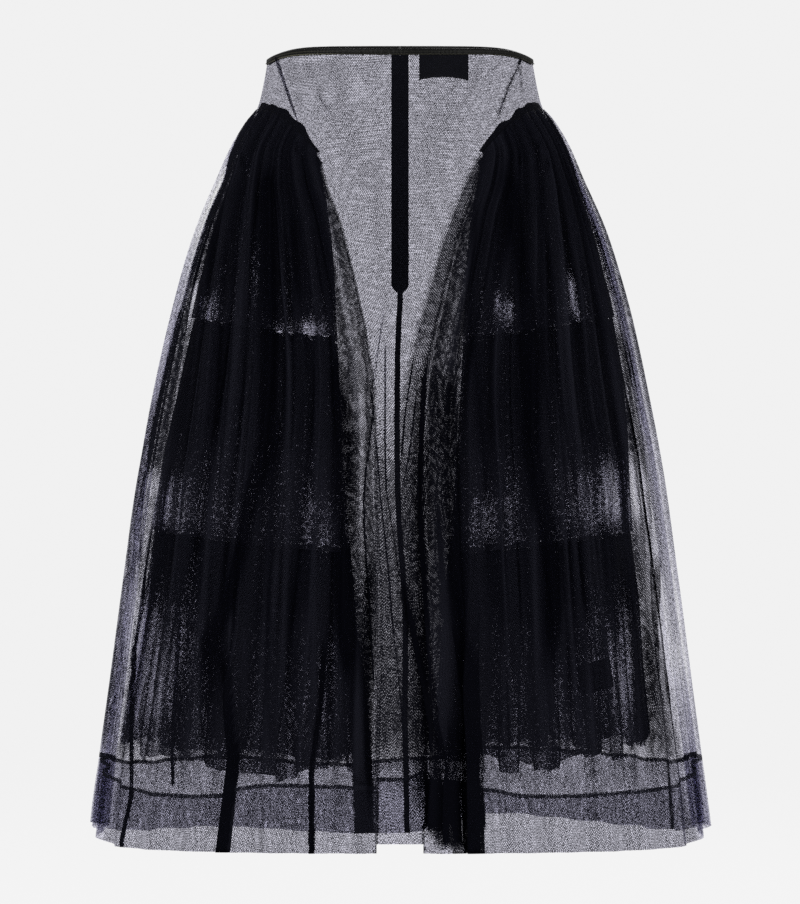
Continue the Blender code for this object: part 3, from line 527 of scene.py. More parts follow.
# Layers where the cloth hangs doubled or thinned without one clear fold
GORE_FULLNESS = Table(
    "z layers*",
    (20, 1), (-310, 1), (-345, 1.15), (-372, 1.4), (-400, 1.95), (-430, 2.4), (-560, 2.8),
    (-620, 3), (-665, 2.9), (-692, 1), (-790, 1),
)
SEAM_FULLNESS = Table(        # what the side panels have more, close to the gores
    "z layers*",
    (-97, 1.6), (-300, 1.6), (-450, 1.8), (-560, 2.6), (-665, 2.4), (-692, 0.2), (-790, 0),
)
SEAM_FULLNESS_REACH = 38 * MM
SEAM_FULLNESS_FADE = 0.6 * SEAM_FULLNESS_REACH
SEAM_EVEN, SEAM_UNEVEN = 0.8, 0.6              # all along it, and with the fine gathers
LEFT_SEAM_THIN = 0.25         # share of that right at the left seam, where it falls flat
LEFT_SEAM_REACH = 26 * MM
RIGHT_SEAM_FULLNESS = 1.2     # times as much on the right, below RIGHT_FULL_FROM
RIGHT_FULL_FROM, RIGHT_FULL_FADE = -320 * MM, 60 * MM

# Width of the thin rim that stands beyond the petticoat at either side, and its layers
RIMS = Table(
    "z left left_layers* right right_layers*",
    (-95, 4, 0.6, 4, 1.5), (-118, 8, 0.35, 6, 2), (-147, 8, 0.3, 9, 2), (-176, 9, 0.4, 9, 2.1),
    (-205, 9.5, 0.55, 10, 2.2), (-235, 10, 0.7, 11, 2.2), (-264, 8.5, 0.75, 12, 2),
    (-293, 8, 0.8, 10, 1.9), (-322, 7, 1.1, 12, 1.6), (-351, 6, 1.8, 14, 1.4),
    (-380, 7, 2, 14, 1.1), (-409, 13, 2, 17, 1), (-438, 20, 1.7, 18, 1), (-467, 16, 1.55, 22, 0.85),
    (-496, 15, 1.4, 25, 0.7), (-526, 15, 1.45, 28, 0.6), (-584, 13, 1.75, 26, 0.55),
    (-613, 13, 1.9, 25, 0.75), (-642, 15, 1.95, 23, 0.95), (-690, 18, 1.75, 18, 1),
    (-780, 18, 0.9, 14, 0.9),
)
RIM_BIN, RIM_BINS = 0.7 * MM, 80
RIM_EDGE = 2.5 * MM           # over which the rim passes into the gathers
RIM_CROSSED = 0.9             # power of the crossings by which its layers are shared out
NEXT_TO_RIM, NEXT_FADE = 24 * MM, 8 * MM       # width of the gathers that hang closest there
NEXT_LAYERS = 0.9
NEXT_TOP, NEXT_TOP_FADE = -95 * MM, 30 * MM
SOFT_END = -700 * MM          # soft bunches and those gathers run out there
SOFT_END_FADE, NEXT_END_FADE = 60 * MM, 40 * MM
NEXT_UNEVEN, RIM_UNEVEN, HEM_UNEVEN = 0.5, 0.35, 0.16      # with the fine gathers
RIM_HEM_THINNER = 0.4


def crossings(from_edge):
    """How often a line from front to back passes the cloth at each point near the edge."""
    bins = np.clip(from_edge / RIM_BIN, 0, RIM_BINS - 1).astype(int)
    first, last = np.minimum(bins[:, :-1], bins[:, 1:]), np.maximum(bins[:, :-1], bins[:, 1:])
    counts = np.zeros((len(bins), RIM_BINS + 1))
    rows = np.broadcast_to(np.arange(len(bins))[:, None], first.shape)
    np.add.at(counts, (rows, first), 1)
    np.add.at(counts, (rows, last), -1)
    passed = np.maximum(counts.cumsum(axis=1), 2)
    smooth = (passed[:, :-2] + passed[:, 1:-1] + passed[:, 2:]) / 3
    return np.take_along_axis(smooth, np.clip(bins - 1, 0, RIM_BINS - 2), axis=1)


# Fine gathers: widths as shares of the cloth, heights in millimetres
Streaks = namedtuple("Streaks", "count narrow wide height")
SIDE_STREAKS = Streaks(190, 0.0016, 0.007, 1.4)
TIER_STREAKS = Streaks(170, 0.0025, 0.009, 1.0)
STREAK_RISE, STREAK_FADE = 0.08, 0.2      # shares of the length over which one starts and ends
STREAK_DRIFT = 0.03
STREAK_LENGTHS, STREAK_HEIGHTS = (0.25, 1.0), (0.4, 1.0)
IN_AND_OUT = [0.35, 0.65]     # shares of them that fall in and stand out


def streaks(shares, z, rng, kind, top, bottom):
    """Sum of many soft ridges that run down the cloth, each with a place, length and depth."""
    total = np.zeros(np.broadcast(shares, z).shape)
    down = (top - z) / (top - bottom)
    for _ in range(kind.count):
        place, drift = rng.uniform(0, 1), rng.normal(0, STREAK_DRIFT)
        width = rng.uniform(kind.narrow, kind.wide)
        start = rng.uniform(0, 1) ** 1.5
        length = rng.uniform(*STREAK_LENGTHS)
        height = rng.uniform(*STREAK_HEIGHTS) * rng.choice([-1, 1], p=IN_AND_OUT)
        t = (shares - place - drift * down) / width
        ends = (smoothstep((down - start + STREAK_RISE) / STREAK_RISE)
                * smoothstep((start + length - down) / STREAK_FADE))
        total += height * np.exp(-t * t) * ends
    return total


def ripples(at, rng, draw, low, high, count):
    """Sum of waves along a line, each with its own height, place and number from low to high."""
    return sum(rng.uniform(0.3, 1) * np.sin(draw(low, high) * at + rng.uniform(0, 6))
               for _ in range(count))


# ---------------------------------------------------------------- hems
FRONT_TURN = Table(           # how far the hem is turned up in front
    "x height",
    (300, 66), (270, 57), (225, 54), (120, 53), (90, 59), (75, 63), (25, 68), (5, 61), (-60, 62),
    (-120, 63), (-148, 60), (-170, 53), (-215, 51), (-250, 53), (-290, 60),
)
BACK_TURN = Table(            # and at the back
    "x height",
    (300, 70), (265, 70), (200, 70), (110, 66), (90, 66), (25, 71), (0, 74), (-80, 68), (-170, 70),
    (-260, 69), (-300, 70),
)
TURN_INSIDE = 1.2 * MM        # how far the turned-up cloth lies inside the outer one
STITCH_HALF_WIDTH, STITCH_LAYERS = 1.1 * MM, 4.5
SEAM_LINE_LAYERS = 1.2        # more along the seams between gore and side panel
TURN_ROWS = 8
STITCH_ROW = 2.5 * MM         # between the rows of points at the stitching


def turn_height(x, facing):
    """How far the hem is turned up at x."""
    front, back = FRONT_TURN.read(x, "height"), BACK_TURN.read(x, "height")
    return mix(front, back, smoothstep(0.5 + facing / 2))


def stitch_layers(z, stitch, inside):
    """Layers that the hem's row of stitching shows as on the outer cloth."""
    return STITCH_LAYERS * ((np.abs(z - stitch) < STITCH_HALF_WIDTH) & (inside == 0))


def column_heights(tops, hems, turns, rows):
    """Heights down each column from the top to the hem and up again inside it, how far inside
    they lie, and those of the stitching. Rows lie close at the seam, the stitching and the fold."""
    stitch = hems + turns
    upper = np.linspace(0, 1, rows) ** 1.25
    z = tops + (stitch + STITCH_ROW - tops) * upper[:, None]
    around = [stitch + step * STITCH_ROW for step in (0.4, 0, -0.4, -1)]
    lower = stitch - STITCH_ROW + (hems - stitch + STITCH_ROW) * np.linspace(0.12, 1, 10)[:, None]
    turned = hems + turns * np.linspace(0.04, 1.02, TURN_ROWS)[:, None]
    heights = np.concatenate([z, around, lower, turned])
    inside = np.zeros(heights.shape)
    inside[-TURN_ROWS:] = TURN_INSIDE
    return heights, inside, stitch


BACK_SWAY = Table(            # of the centre back seam
    "z x",
    (-230, 0), (-290, -2.4), (-410, -2.5), (-465, 0), (-510, 3.5), (-560, 5.5), (-640, 5),
    (-760, 7),
)
SWAY_REACH = 45 * MM


def back_sway(x, z):
    """How far the cloth at the back lies aside, by the sway of its centre seam."""
    return BACK_SWAY.read(z, "x") * np.exp(-(x / SWAY_REACH) ** 2)


# ---------------------------------------------------------------- meshes
def add_piece(name, data, material, node=None):
    """Makes a piece of the skirt, which stands for a node where one is named."""
    data.materials.append(material)
    piece = bpy.data.objects.new(name, data)
    bpy.context.scene.collection.objects.link(piece)
    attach(piece, "skirt")
    if node:
        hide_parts(node)
    return piece


def set_values(mesh, **values):
    """Gives the points of a mesh their values under a name."""
    for key, numbers in values.items():
        mesh.attributes.new(key, "FLOAT", "POINT").data.foreach_set(
            "value", np.ravel(numbers).astype(np.float32))


def cloth_piece(node, kind, points, uv, material, slot, layers=None, sheen=None, kept=None,
                **cut):
    """A sheet from rows and columns of points, which stands for a node; `kept` says which of
    the points the cloth has. `cut`, what it was before it was hung, is not used."""
    rows, columns = points.shape[:2]
    index = np.arange(rows * columns).reshape(rows, columns)
    corners = np.stack([index[:-1, :-1], index[:-1, 1:], index[1:, 1:], index[1:, :-1]], axis=-1)
    corners = corners.reshape(-1, 4)
    points, uv = points.reshape(-1, 3), uv.reshape(-1, 2)
    if kept is not None:
        kept = kept.ravel()
        corners = corners[kept[corners].all(axis=1)]
        number = np.cumsum(kept) - 1
        corners, points, uv = number[corners], points[kept], uv[kept]
        layers, sheen = layers.ravel()[kept], sheen.ravel()[kept]
    name = f"{node}_{kind}"
    mesh = bpy.data.meshes.new(name)
    mesh.from_pydata(points.tolist(), [], corners.tolist())
    mesh.uv_layers.new(name="UVMap").data.foreach_set("uv", uv[corners.ravel()].ravel())
    if layers is not None:
        layers = np.clip(layers, 0.05, MOST_LAYERS)
        # each point's layers, and its painted sheen, which stands in for light on the net
        set_values(mesh, net_level=np.interp(layers, LAYER_COUNTS, CUT_LEVELS),
                   net_sharpness=net_sharpness(layers), sheen=np.clip(sheen, 0, 1))
    mesh.shade_smooth()
    piece = add_piece(name, mesh, material, node)
    return piece


WARPS = 6                     # waves that warp the net
WARP_NUMBERS, WARP_SWINGS = (25, 90), (0.2, 0.7)


def cloth_uv(points, rng):
    """The cloth's own lengths across and down, a little warped as net always is."""
    across = np.linalg.norm(np.diff(points, axis=1), axis=-1).cumsum(axis=1)
    across = np.concatenate([np.zeros((len(points), 1)), across], axis=1)
    middle = points.shape[1] // 2
    across -= across[:, middle:middle + 1]
    down = np.linalg.norm(np.diff(points, axis=0), axis=-1).cumsum(axis=0)
    down = np.concatenate([np.zeros((1, points.shape[1])), down])
    for _ in range(WARPS):
        wave, phase = rng.uniform(*WARP_NUMBERS, 2), rng.uniform(0, 2 * math.pi, 2)
        swing = rng.uniform(*WARP_SWINGS) * MM
        bent = np.sin(across * wave[0] + down * wave[1] + phase[0])
        across = across + swing * np.sin(down * wave[0] + phase[1])
        down = down + swing * bent
    return np.stack([across, -down], axis=-1)


def mirrored(points, side):
    return points * np.array([side, 1, 1])


# ---------------------------------------------------------------- the net's material
def new_material(name, colour, roughness, specular=0.5):
    material = bpy.data.materials.new(name)
    material.use_nodes = True
    shader = material.node_tree.nodes["Principled BSDF"]
    shader.inputs["Base Color"].default_value = (*colour, 1)
    shader.inputs["Roughness"].default_value = roughness
    shader.inputs["Specular IOR Level"].default_value = specular
    return material, material.node_tree, shader


def add_node(tree, kind, inputs=None, **settings):
    node = tree.nodes.new(kind)
    for key, value in settings.items():
        setattr(node, key, value)
    for key, value in (inputs or {}).items():
        if isinstance(value, bpy.types.NodeSocket):
            tree.links.new(value, node.inputs[key])
        else:
            node.inputs[key].default_value = value
    return node


JITTER_LENGTH = 2.6 * MM      # how far apart the net's threads shift differently
JITTER = 1.1 * MM
THREAD_UNEVENNESS = 1.2
CREST_SHEEN = 0.3             # share of the painted sheen, a painted highlight, on the thread's thin edge
HOLE_TINT = (0.94, 0.935, 1.0, 1)      # the fluff of the thread, faintly violet against light


def net_material(name, dark, light, turned):
    """Hexagonal net: three waves make its relief, which is cut at the level of each point.
    Small uneven shifts of the threads keep two layers from making a regular pattern."""
    material, tree, shader = new_material(name, dark, 0.6, 0.03)

    def add(kind, *values, output=0, **settings):
        return add_node(tree, "ShaderNode" + kind, dict(enumerate(values)),
                        **settings).outputs[output]

    def math_node(operation, *values, **settings):
        return add("Math", *values, operation=operation, **settings)

    def attribute(key):
        return add("Attribute", output="Fac", attribute_name=key)

    def mix_colour(share, low, high):
        return add_node(tree, "ShaderNodeMix", {0: share, 6: low, 7: high},
                        data_type="RGBA").outputs[2]

    place = add("UVMap", output="UV", uv_map="UVMap")
    uneven = add_node(tree, "ShaderNodeTexNoise", {"Vector": place, "Scale": 1 / JITTER_LENGTH,
                                                   "Detail": 1.0}, noise_dimensions="2D")
    shift = add("VectorMath", uneven.outputs["Color"], (0.5,) * 3, operation="SUBTRACT")
    place = add("VectorMath", shift, (JITTER,) * 3, place, operation="MULTIPLY_ADD")
    relief = None
    for turn in WAVE_TURNS:
        turn += turned
        wave = (WAVE_NUMBER * math.cos(turn), WAVE_NUMBER * math.sin(turn), 0)
        phase = add("VectorMath", place, wave, output="Value", operation="DOT_PRODUCT")
        cosine = math_node("COSINE", phase)
        relief = cosine if relief is None else math_node("ADD", relief, cosine)
    level = attribute("net_level")
    thickness = math_node("MULTIPLY_ADD", uneven.outputs["Fac"], THREAD_UNEVENNESS,
                          -THREAD_UNEVENNESS / 2)
    depth = math_node("SUBTRACT", math_node("ADD", level, thickness), relief)
    cover = math_node("MULTIPLY_ADD", depth, attribute("net_sharpness"), 0.5, use_clamp=True)
    # painted sheen: the threads' colour goes from the dark one towards the light one by each point's
    # sheen, most on the thread's middle; it stands in for light on the threads and through the net
    crest = add("MapRange", relief, -1.5, 3.0, 1.0, CREST_SHEEN)
    lit = math_node("MULTIPLY", attribute("sheen"), crest)
    tree.links.new(mix_colour(lit, (*dark, 1), (*light, 1)), shader.inputs["Base Color"])
    fluff = add("MapRange", level, CUT_LEVELS[1], CUT_LEVELS[6])
    hole = add("BsdfTransparent", mix_colour(fluff, (1, 1, 1, 1), HOLE_TINT))
    tree.links.new(add("MixShader", cover, hole, shader.outputs[0]),
                   tree.nodes["Material Output"].inputs["Surface"])
    return material


# each net's second colour is its painted sheen; the petticoat's is brighter, painted as light shining
# through it
NET = net_material("net", (0.0012, 0.0013, 0.0042), (0.024, 0.0245, 0.037), 0)
PETTICOAT_NET = net_material("petticoat_net", (0.0018, 0.0020, 0.0056),
                             (0.060, 0.060, 0.080), math.radians(23))


# ---------------------------------------------------------------- side panels
SIDE_COLUMNS = 940
SIDE_ROWS = 82
SIDE_WIDTH = 0.92             # flat width of the cloth that is gathered into a side panel
SIDE_LENGTH = 0.775           # with the turned-up hem
GATHERED_SHARE = 0.6          # how much of the width that was gathered in shows as layers
STREAK_GROWTH = 25 * MM       # below the seam, over which the fine gathers grow
STREAK_LAYERS, STREAK_LEAST = 0.7, -0.7        # how the layers follow them, and the least that counts
OPEN_HEM, OPEN_FADE = 22 * MM, 20 * MM         # above the stitching, where the gathers run out
SEAM_LINE = 1.4 * MM
SIDE_SHEEN = (0.62, 0.95)     # painted sheen at the hips and low down
SHEEN_TOP, SHEEN_FADE = -150 * MM, 450 * MM
# painted highlights: more painted sheen on the gathers' crests, with the fine gathers and just above
# the hem
CREST_SHINES, FINE_SHINES, HEM_SHINES = 0.4, 0.6, 0.4


def rim_layers(points, x, z, fine, layers, side):
    """The layers of a side panel with its thin rim, and how much each point lies in the rim."""
    key = SIDE_NAMES[side]
    reach = np.abs(points[..., 0])
    from_edge = reach.max(axis=1, keepdims=True) - reach
    rim = RIMS.read(z, key)
    in_rim = smoothstep((rim - from_edge) / RIM_EDGE + 0.5)
    next_to_rim = (1 - in_rim) * smoothstep((rim + NEXT_TO_RIM - from_edge) / NEXT_FADE)
    where = smoothstep((z - SOFT_END) / NEXT_END_FADE) * smoothstep((NEXT_TOP - z) / NEXT_TOP_FADE)
    layers = layers + NEXT_LAYERS * next_to_rim * where * (1 + NEXT_UNEVEN * fine)
    layers *= window_field(x, z, fine)
    thin = RIMS.read(z, key + "_layers") * (2 / crossings(from_edge)) ** RIM_CROSSED
    return mix(layers, thin * (1 + RIM_UNEVEN * fine), in_rim), in_rim


def build_side_panel(side, seed):
    rng = np.random.default_rng(seed)
    shares = np.linspace(0, 1, SIDE_COLUMNS)
    hem_angles = SIDE_ARC.angle(shares, np.full(SIDE_COLUMNS, HEM_HEIGHT))
    hem_points = body_point(hem_angles, np.array(HEM_HEIGHT))
    facing_hem = hem_points[:, 1] / hem_points[:, 1].max()
    tops = top_of(SIDE_ARC, shares, SEAM_GAP)
    turns = turn_height(hem_points[:, 0] * side, facing_hem)
    z, inside, stitch = column_heights(tops, hem_height(hem_angles, side), turns, SIDE_ROWS)
    share = np.broadcast_to(shares, z.shape)
    below = np.minimum(z - tops, 0)
    wave, uneven = gather_wave(share, SIDE_WAVES, side)
    depth = GATHERS.read(below, "depth") * (1 + GATHER_UNEVENNESS * uneven)
    fine = streaks(share, z, rng, SIDE_STREAKS, float(tops.max()), HEM_HEIGHT)
    grown = smoothstep(-below / STREAK_GROWTH)

    angle = SIDE_ARC.angle(share, z)
    base = body_point(angle, z)
    x, facing = base[..., 0] * side, base[..., 1] / base[..., 1].max()
    sideways, outward, bunched = fold_field(x, z, np.sign(facing))
    soft_lift, soft_layers = bunch_field(BUNCHES, x, z, facing)
    outward = outward + depth * wave - WALL / 2 + fine * SIDE_STREAKS.height * MM * grown - inside
    outward = outward + soft_lift * smoothstep((z - SOFT_END) / SOFT_END_FADE)
    tangent = body_tangent(angle, z)
    level_step = unit(tangent * np.array([1, 1, 0])) * np.sign(tangent[..., :1])
    points = base + body_normal(angle, z) * outward[..., None] + level_step * (
        sideways * side)[..., None]
    points[..., 0] += side * back_sway(points[..., 0] * side, z) * (facing > 0)

    layers = standing(points, tangent) * mix(1, SIDE_WIDTH / SIDE_ARC.arc(z), GATHERED_SHARE)
    layers *= 1 + STREAK_LAYERS * np.maximum(fine, STREAK_LEAST) * grown
    at_seam = np.minimum(share, 1 - share) * SIDE_ARC.arc(z)
    near_seam = smoothstep((SEAM_FULLNESS_REACH - at_seam) / SEAM_FULLNESS_FADE)
    more = SEAM_FULLNESS.read(z, "layers") * near_seam * (SEAM_EVEN + SEAM_UNEVEN * fine)
    if side == RIGHT:
        more *= mix(1, RIGHT_SEAM_FULLNESS, smoothstep((RIGHT_FULL_FROM - z) / RIGHT_FULL_FADE))
    else:
        more *= mix(LEFT_SEAM_THIN, 1, smoothstep(at_seam / LEFT_SEAM_REACH))
    layers += np.maximum(more, 0)
    layers += soft_layers
    layers, in_rim = rim_layers(points, x, z, fine, layers, side)
    opened = smoothstep((stitch + OPEN_HEM - z) / OPEN_FADE)
    layers = mix(layers, (1.0 - RIM_HEM_THINNER * in_rim) * (1 + HEM_UNEVEN * fine), opened)
    layers += bunched
    layers += SEAM_LINE_LAYERS * (at_seam < SEAM_LINE)
    layers += stitch_layers(z, stitch, inside)
    points = mirrored(points, side)
    # the side panel's painted sheen, taken back in its folds and bunches as painted shade
    sheen = mix(*SIDE_SHEEN, smoothstep((SHEEN_TOP - z) / SHEEN_FADE)) * (
        0.5 + CREST_SHINES * wave + FINE_SHINES * fine) + HEM_SHINES * opened
    cloth_piece("side_panel_" + SIDE_NAMES[side], "net", points, cloth_uv(points, rng), NET, "net",
                layers, painted_shade_in_folds(sheen, bunched, soft_layers),
                flat=(SIDE_WIDTH, SIDE_LENGTH), held="gathered")


build_side_panel(LEFT, 11)
build_side_panel(RIGHT, 12)


# ---------------------------------------------------------------- front and back panels
YOKE_ROWS, GORE_ROWS = 52, 76
TUCKED_IN = 5 * MM            # how far the net runs up inside the binding
GORE_SEAM_LINE = 1.3 * MM
# painted sheen of yoke and gore, taken back in their folds and bunches as painted shade
PANEL_SHEEN = 0.5


def build_panel(node, face, ends, columns, seed, **cut):
    """Yoke and gore in one. A column's place runs from -2 to 2: up to 1 from the centre it
    crosses the gore, and beyond that it goes on round the yoke to the side."""
    rng = np.random.default_rng(seed)
    place = np.linspace(ends[0], ends[1], columns)
    place[np.argmin(np.abs(place - 1))] = 1 if ends[1] > 1 else place[-1]
    place[np.argmin(np.abs(place + 1))] = -1 if ends[0] < -1 else place[0]
    sign = np.where(place < 0, -1, 1)
    across = np.abs(place)
    in_gore = np.minimum(across, 1)
    inner = angle_of_half_width(in_gore * GORE_TOP, HIP_SEAM_INNER)
    quarter = np.where(across > 1, HIP_SEAM_ANGLE * (2 - across), inner)
    tops = waist_top(face * quarter) - BINDING_HEIGHT + TUCKED_IN
    lows = np.where(across > 1, hip_seam(quarter) + SEAM_GAP, HIP_SEAM_INNER)
    yoke_z = tops + (lows - tops) * np.linspace(0, 1, YOKE_ROWS)[:, None]

    hem_x = in_gore * GORE_HEM
    hems = hem_height(face * angle_of_half_width(hem_x, HEM_HEIGHT), sign)
    if face == FRONT:
        hems = hems + FRONT_GORE_RISE
    gore_z, inside, stitch = column_heights(np.full(columns, HIP_SEAM_INNER), hems,
                                            turn_height(hem_x * sign, float(face)), GORE_ROWS)
    gore_z, inside = gore_z[1:], inside[1:]
    half = GORE.read(np.minimum(gore_z, HIP_SEAM_INNER), "half_width")

    z = np.concatenate([yoke_z, gore_z])
    quarter = np.concatenate([np.broadcast_to(quarter, yoke_z.shape),
                              angle_of_half_width(in_gore * half, gore_z)])
    inside = np.concatenate([np.zeros(yoke_z.shape), inside])
    kept = np.ones(z.shape, bool)
    kept[YOKE_ROWS:, across > 1] = False
    base = body_point(face * quarter, z)
    x, facing = base[..., 0] * sign, np.full(z.shape, face)
    sideways, outward, bunched = fold_field(x, z, facing)
    outward = outward - WALL / 2 - inside
    points = base + body_normal(face * quarter, z) * outward[..., None]
    points[..., 0] = (points[..., 0] * sign) + sideways
    if face == BACK:
        points[..., 0] += back_sway(points[..., 0], z)
    soft_layers = bunch_field(GORE_BUNCHES, x, z, facing)[1]
    layers = GORE_FULLNESS.read(z, "layers") + bunched + soft_layers
    if face == FRONT:
        layers += overlap_layers(x, z)
    from_seam = (1 - in_gore) * np.concatenate([np.full(yoke_z.shape, 1.0), half])
    layers += SEAM_LINE_LAYERS * (from_seam < GORE_SEAM_LINE) * (z < HIP_SEAM_INNER)
    layers += stitch_layers(z, stitch, inside)
    cloth_piece(node, "net", points, cloth_uv(points, rng), NET, "net", layers,
                painted_shade_in_folds(PANEL_SHEEN, bunched + soft_layers), kept, held="hung", **cut)


BACK_SLIT = 0.004             # share of the gore left open at the centre back
BACK_CUT = {"flat": (0.192, 0.836), "area": 0.0485}
build_panel("front_panel", FRONT, (-2, 2), 421, 31, flat=(0.385, 0.816), area=0.095)
build_panel("back_panel_left", BACK, (-2, -BACK_SLIT), 211, 32, **BACK_CUT)
build_panel("back_panel_right", BACK, (BACK_SLIT, 2), 211, 33, **BACK_CUT)


# ---------------------------------------------------------------- petticoat
TIER_COLUMN_NAMES = ("first", "second", "third")
TIER_CLOTH = Table(           # layers of cloth down a tier
    "at* first* second* third*",
    (1.05, 3.6, 3.2, 2.9), (0.9, 4, 3.2, 3.2), (0.7, 4.5, 3.6, 3.7), (0.58, 4.9, 4, 3.9),
    (0.5, 5.2, 5.2, 4.2), (0.36, 5.6, 5.6, 4.7), (0.28, 6, 6, 6), (0.05, 7, 6.2, 6.2),
    (0, 7, 7.5, 7.5),
)
TIER_SHEEN = Table(           # how much painted sheen it gets: none at the gathered top, painted as shade, most low down, painted as light shining through it
    "at* first* second* third*",
    (1.05, 0.8, 0.6, 0.75), (0.9, 0.7, 0.75, 0.65), (0.75, 0.4, 0.7, 0.5), (0.6, 0.3, 0.55, 0.45),
    (0.5, 0.25, 0.1, 0.4), (0.38, 0.2, 0.08, 0.35), (0.28, 0.15, 0.06, 0.07),
    (0.05, 0.05, 0.03, 0.03), (0, 0, 0, 0),
)
SeamRise = namedtuple("SeamRise", "inner outer")
TIER_RISE = (SeamRise(0, 0), SeamRise(-2 * MM, 20 * MM), SeamRise(-10 * MM, 10 * MM))
TIER_HEM_RISE = {LEFT: SeamRise(0, 24 * MM), RIGHT: SeamRise(9 * MM, 28 * MM)}
TIER_COLUMNS, TIER_ROWS = 560, 36
TIER_SEEDS = 20
RAGGED_PIECES = 34            # stretches of the lowest tier that end at different heights
RAGGED_LENGTHS = (-8, 6)      # in millimetres
RAGGED = 0.5 * MM
HEM_WAVE = 7 * MM
THIN_SIDE = 18 * MM           # the lowest tier hangs thin there at its left side
THIN_SHARE = 0.4
LEAST_LAYERS = 0.3
TIER_LAYERS_UNEVEN = 0.6      # with the fine gathers
TIER_SHEEN_UNEVEN = 0.55
WINDOW_START = (0.05, 0.12)   # shares down a tier where windows begin, and over which they do
TIER_CUTS = ((0.48, 0.20), (0.62, 0.196), (0.74, 0.195))      # width and length, laid flat


def tier_edges(number, side, shares, rng):
    """Heights of a tier's upper and lower edge."""
    tier, last = TIERS[number], len(TIERS) - 1
    tops = top_of(TIER_ARC, shares, 2 * SEAM_GAP) if tier.top is None else np.full(
        TIER_COLUMNS, tier.top)
    side_share = np.sin(math.pi * shares) ** 1.5
    rise = [mix(seam.inner, seam.outer, side_share) for seam in TIER_RISE]
    bottoms = np.full(TIER_COLUMNS, tier.bottom)
    if number < last:
        bottoms = bottoms + rise[number + 1]
    ragged = ripples(shares, rng, rng.uniform, 20, 260, 10)
    if number == last:
        bottoms = bottoms + HEM_WAVE * np.sin(9 * shares) * np.cos(23 * shares) + ragged * RAGGED
        lengths = rng.uniform(*RAGGED_LENGTHS, RAGGED_PIECES) * MM
        at_piece = shares * RAGGED_PIECES + 0.35 * np.sin(40 * shares)
        bottoms += lengths[np.clip(at_piece.astype(int), 0, RAGGED_PIECES - 1)]
        hem_rise = TIER_HEM_RISE[side]
        bottoms += mix(hem_rise.inner, hem_rise.outer, side_share ** 4)
    if number > 0:
        tops = tops + rise[number] + ragged * RAGGED
    return tops, bottoms


def build_tier(number, side):
    rng = np.random.default_rng(TIER_SEEDS + number + 5 * side)
    tier = TIERS[number]
    shares = np.linspace(0, 1, TIER_COLUMNS)
    tops, bottoms = tier_edges(number, side, shares, rng)
    z = tops + (bottoms - tops) * (np.linspace(0, 1, TIER_ROWS) ** 1.2)[:, None]
    share = np.broadcast_to(shares, z.shape)
    at = np.clip((tops - z) / (tops - tier.bottom), 0, 1.05)
    wave, uneven = gather_wave(share, TIER_WAVES, side + tier.bottom)
    inset = mix(*((tier.left_top, tier.left_bottom) if side == LEFT
                  else (tier.right_top, tier.right_bottom)), smoothstep(at))
    depth = mix(tier.tight, tier.loose, at ** TIER_OPENING) * (1 + TIER_UNEVENNESS * uneven)
    fine = streaks(share, z, rng, TIER_STREAKS, float(tops.max()), tier.bottom)
    out = -inset - depth * wave - WALL / 2 + fine * TIER_STREAKS.height * MM
    angle = TIER_ARC.angle(share, z)
    points = body_point(angle, z) + body_normal(angle, z) * out[..., None]

    # the cloth's fullness ends a little higher or lower from place to place
    edge_shift = 0.05 * np.sin(31 * share) + 0.03 * np.sin(83 * share + 2)
    shifted = np.clip(at + edge_shift * (at > 0.15), 0, 1.05)
    column = TIER_COLUMN_NAMES[number]
    layers = standing(points, body_tangent(angle, z)) * TIER_CLOTH.read(shifted, column)
    layers *= 1 + TIER_LAYERS_UNEVEN * np.clip(fine, -0.6, 1.5)
    left = window_field(points[..., 0] * side, z, fine)
    started = smoothstep((shifted - WINDOW_START[0]) / WINDOW_START[1])
    layers *= mix(1, left, started) if number else left
    if number == len(TIERS) - 1 and side == LEFT:
        reach = points[..., 0]
        from_edge = reach.max(axis=1, keepdims=True) - reach
        layers *= mix(THIN_SHARE, 1, smoothstep(from_edge / THIN_SIDE))
    # painted sheen down the tier, uneven with the fine gathers
    sheen = TIER_SHEEN.read(shifted, column) * (0.6 + TIER_SHEEN_UNEVEN * fine)
    points = mirrored(points, side)
    cloth_piece(f"petticoat_{SIDE_NAMES[side]}_tier_{number + 1}", "net", points,
                cloth_uv(points, rng), PETTICOAT_NET, "petticoat_net",
                np.maximum(layers, LEAST_LAYERS), sheen,
                flat=TIER_CUTS[number], held="gathered")


for side in (LEFT, RIGHT):
    for number in range(len(TIERS)):
        build_tier(number, side)


# ---------------------------------------------------------------- materials of the trims
def tint_by(tree, shader, share, low, high):
    """Mixes the shader's base colour from two colours."""
    tint = add_node(tree, "ShaderNodeMix", {0: share, 6: low, 7: high}, data_type="RGBA")
    tree.links.new(tint.outputs[2], shader.inputs["Base Color"])


WAVE_LENGTH = 6.28            # of a wave texture at scale 1
WOVEN_SHADES = (0.55, 1.9)    # times the cloth's colour


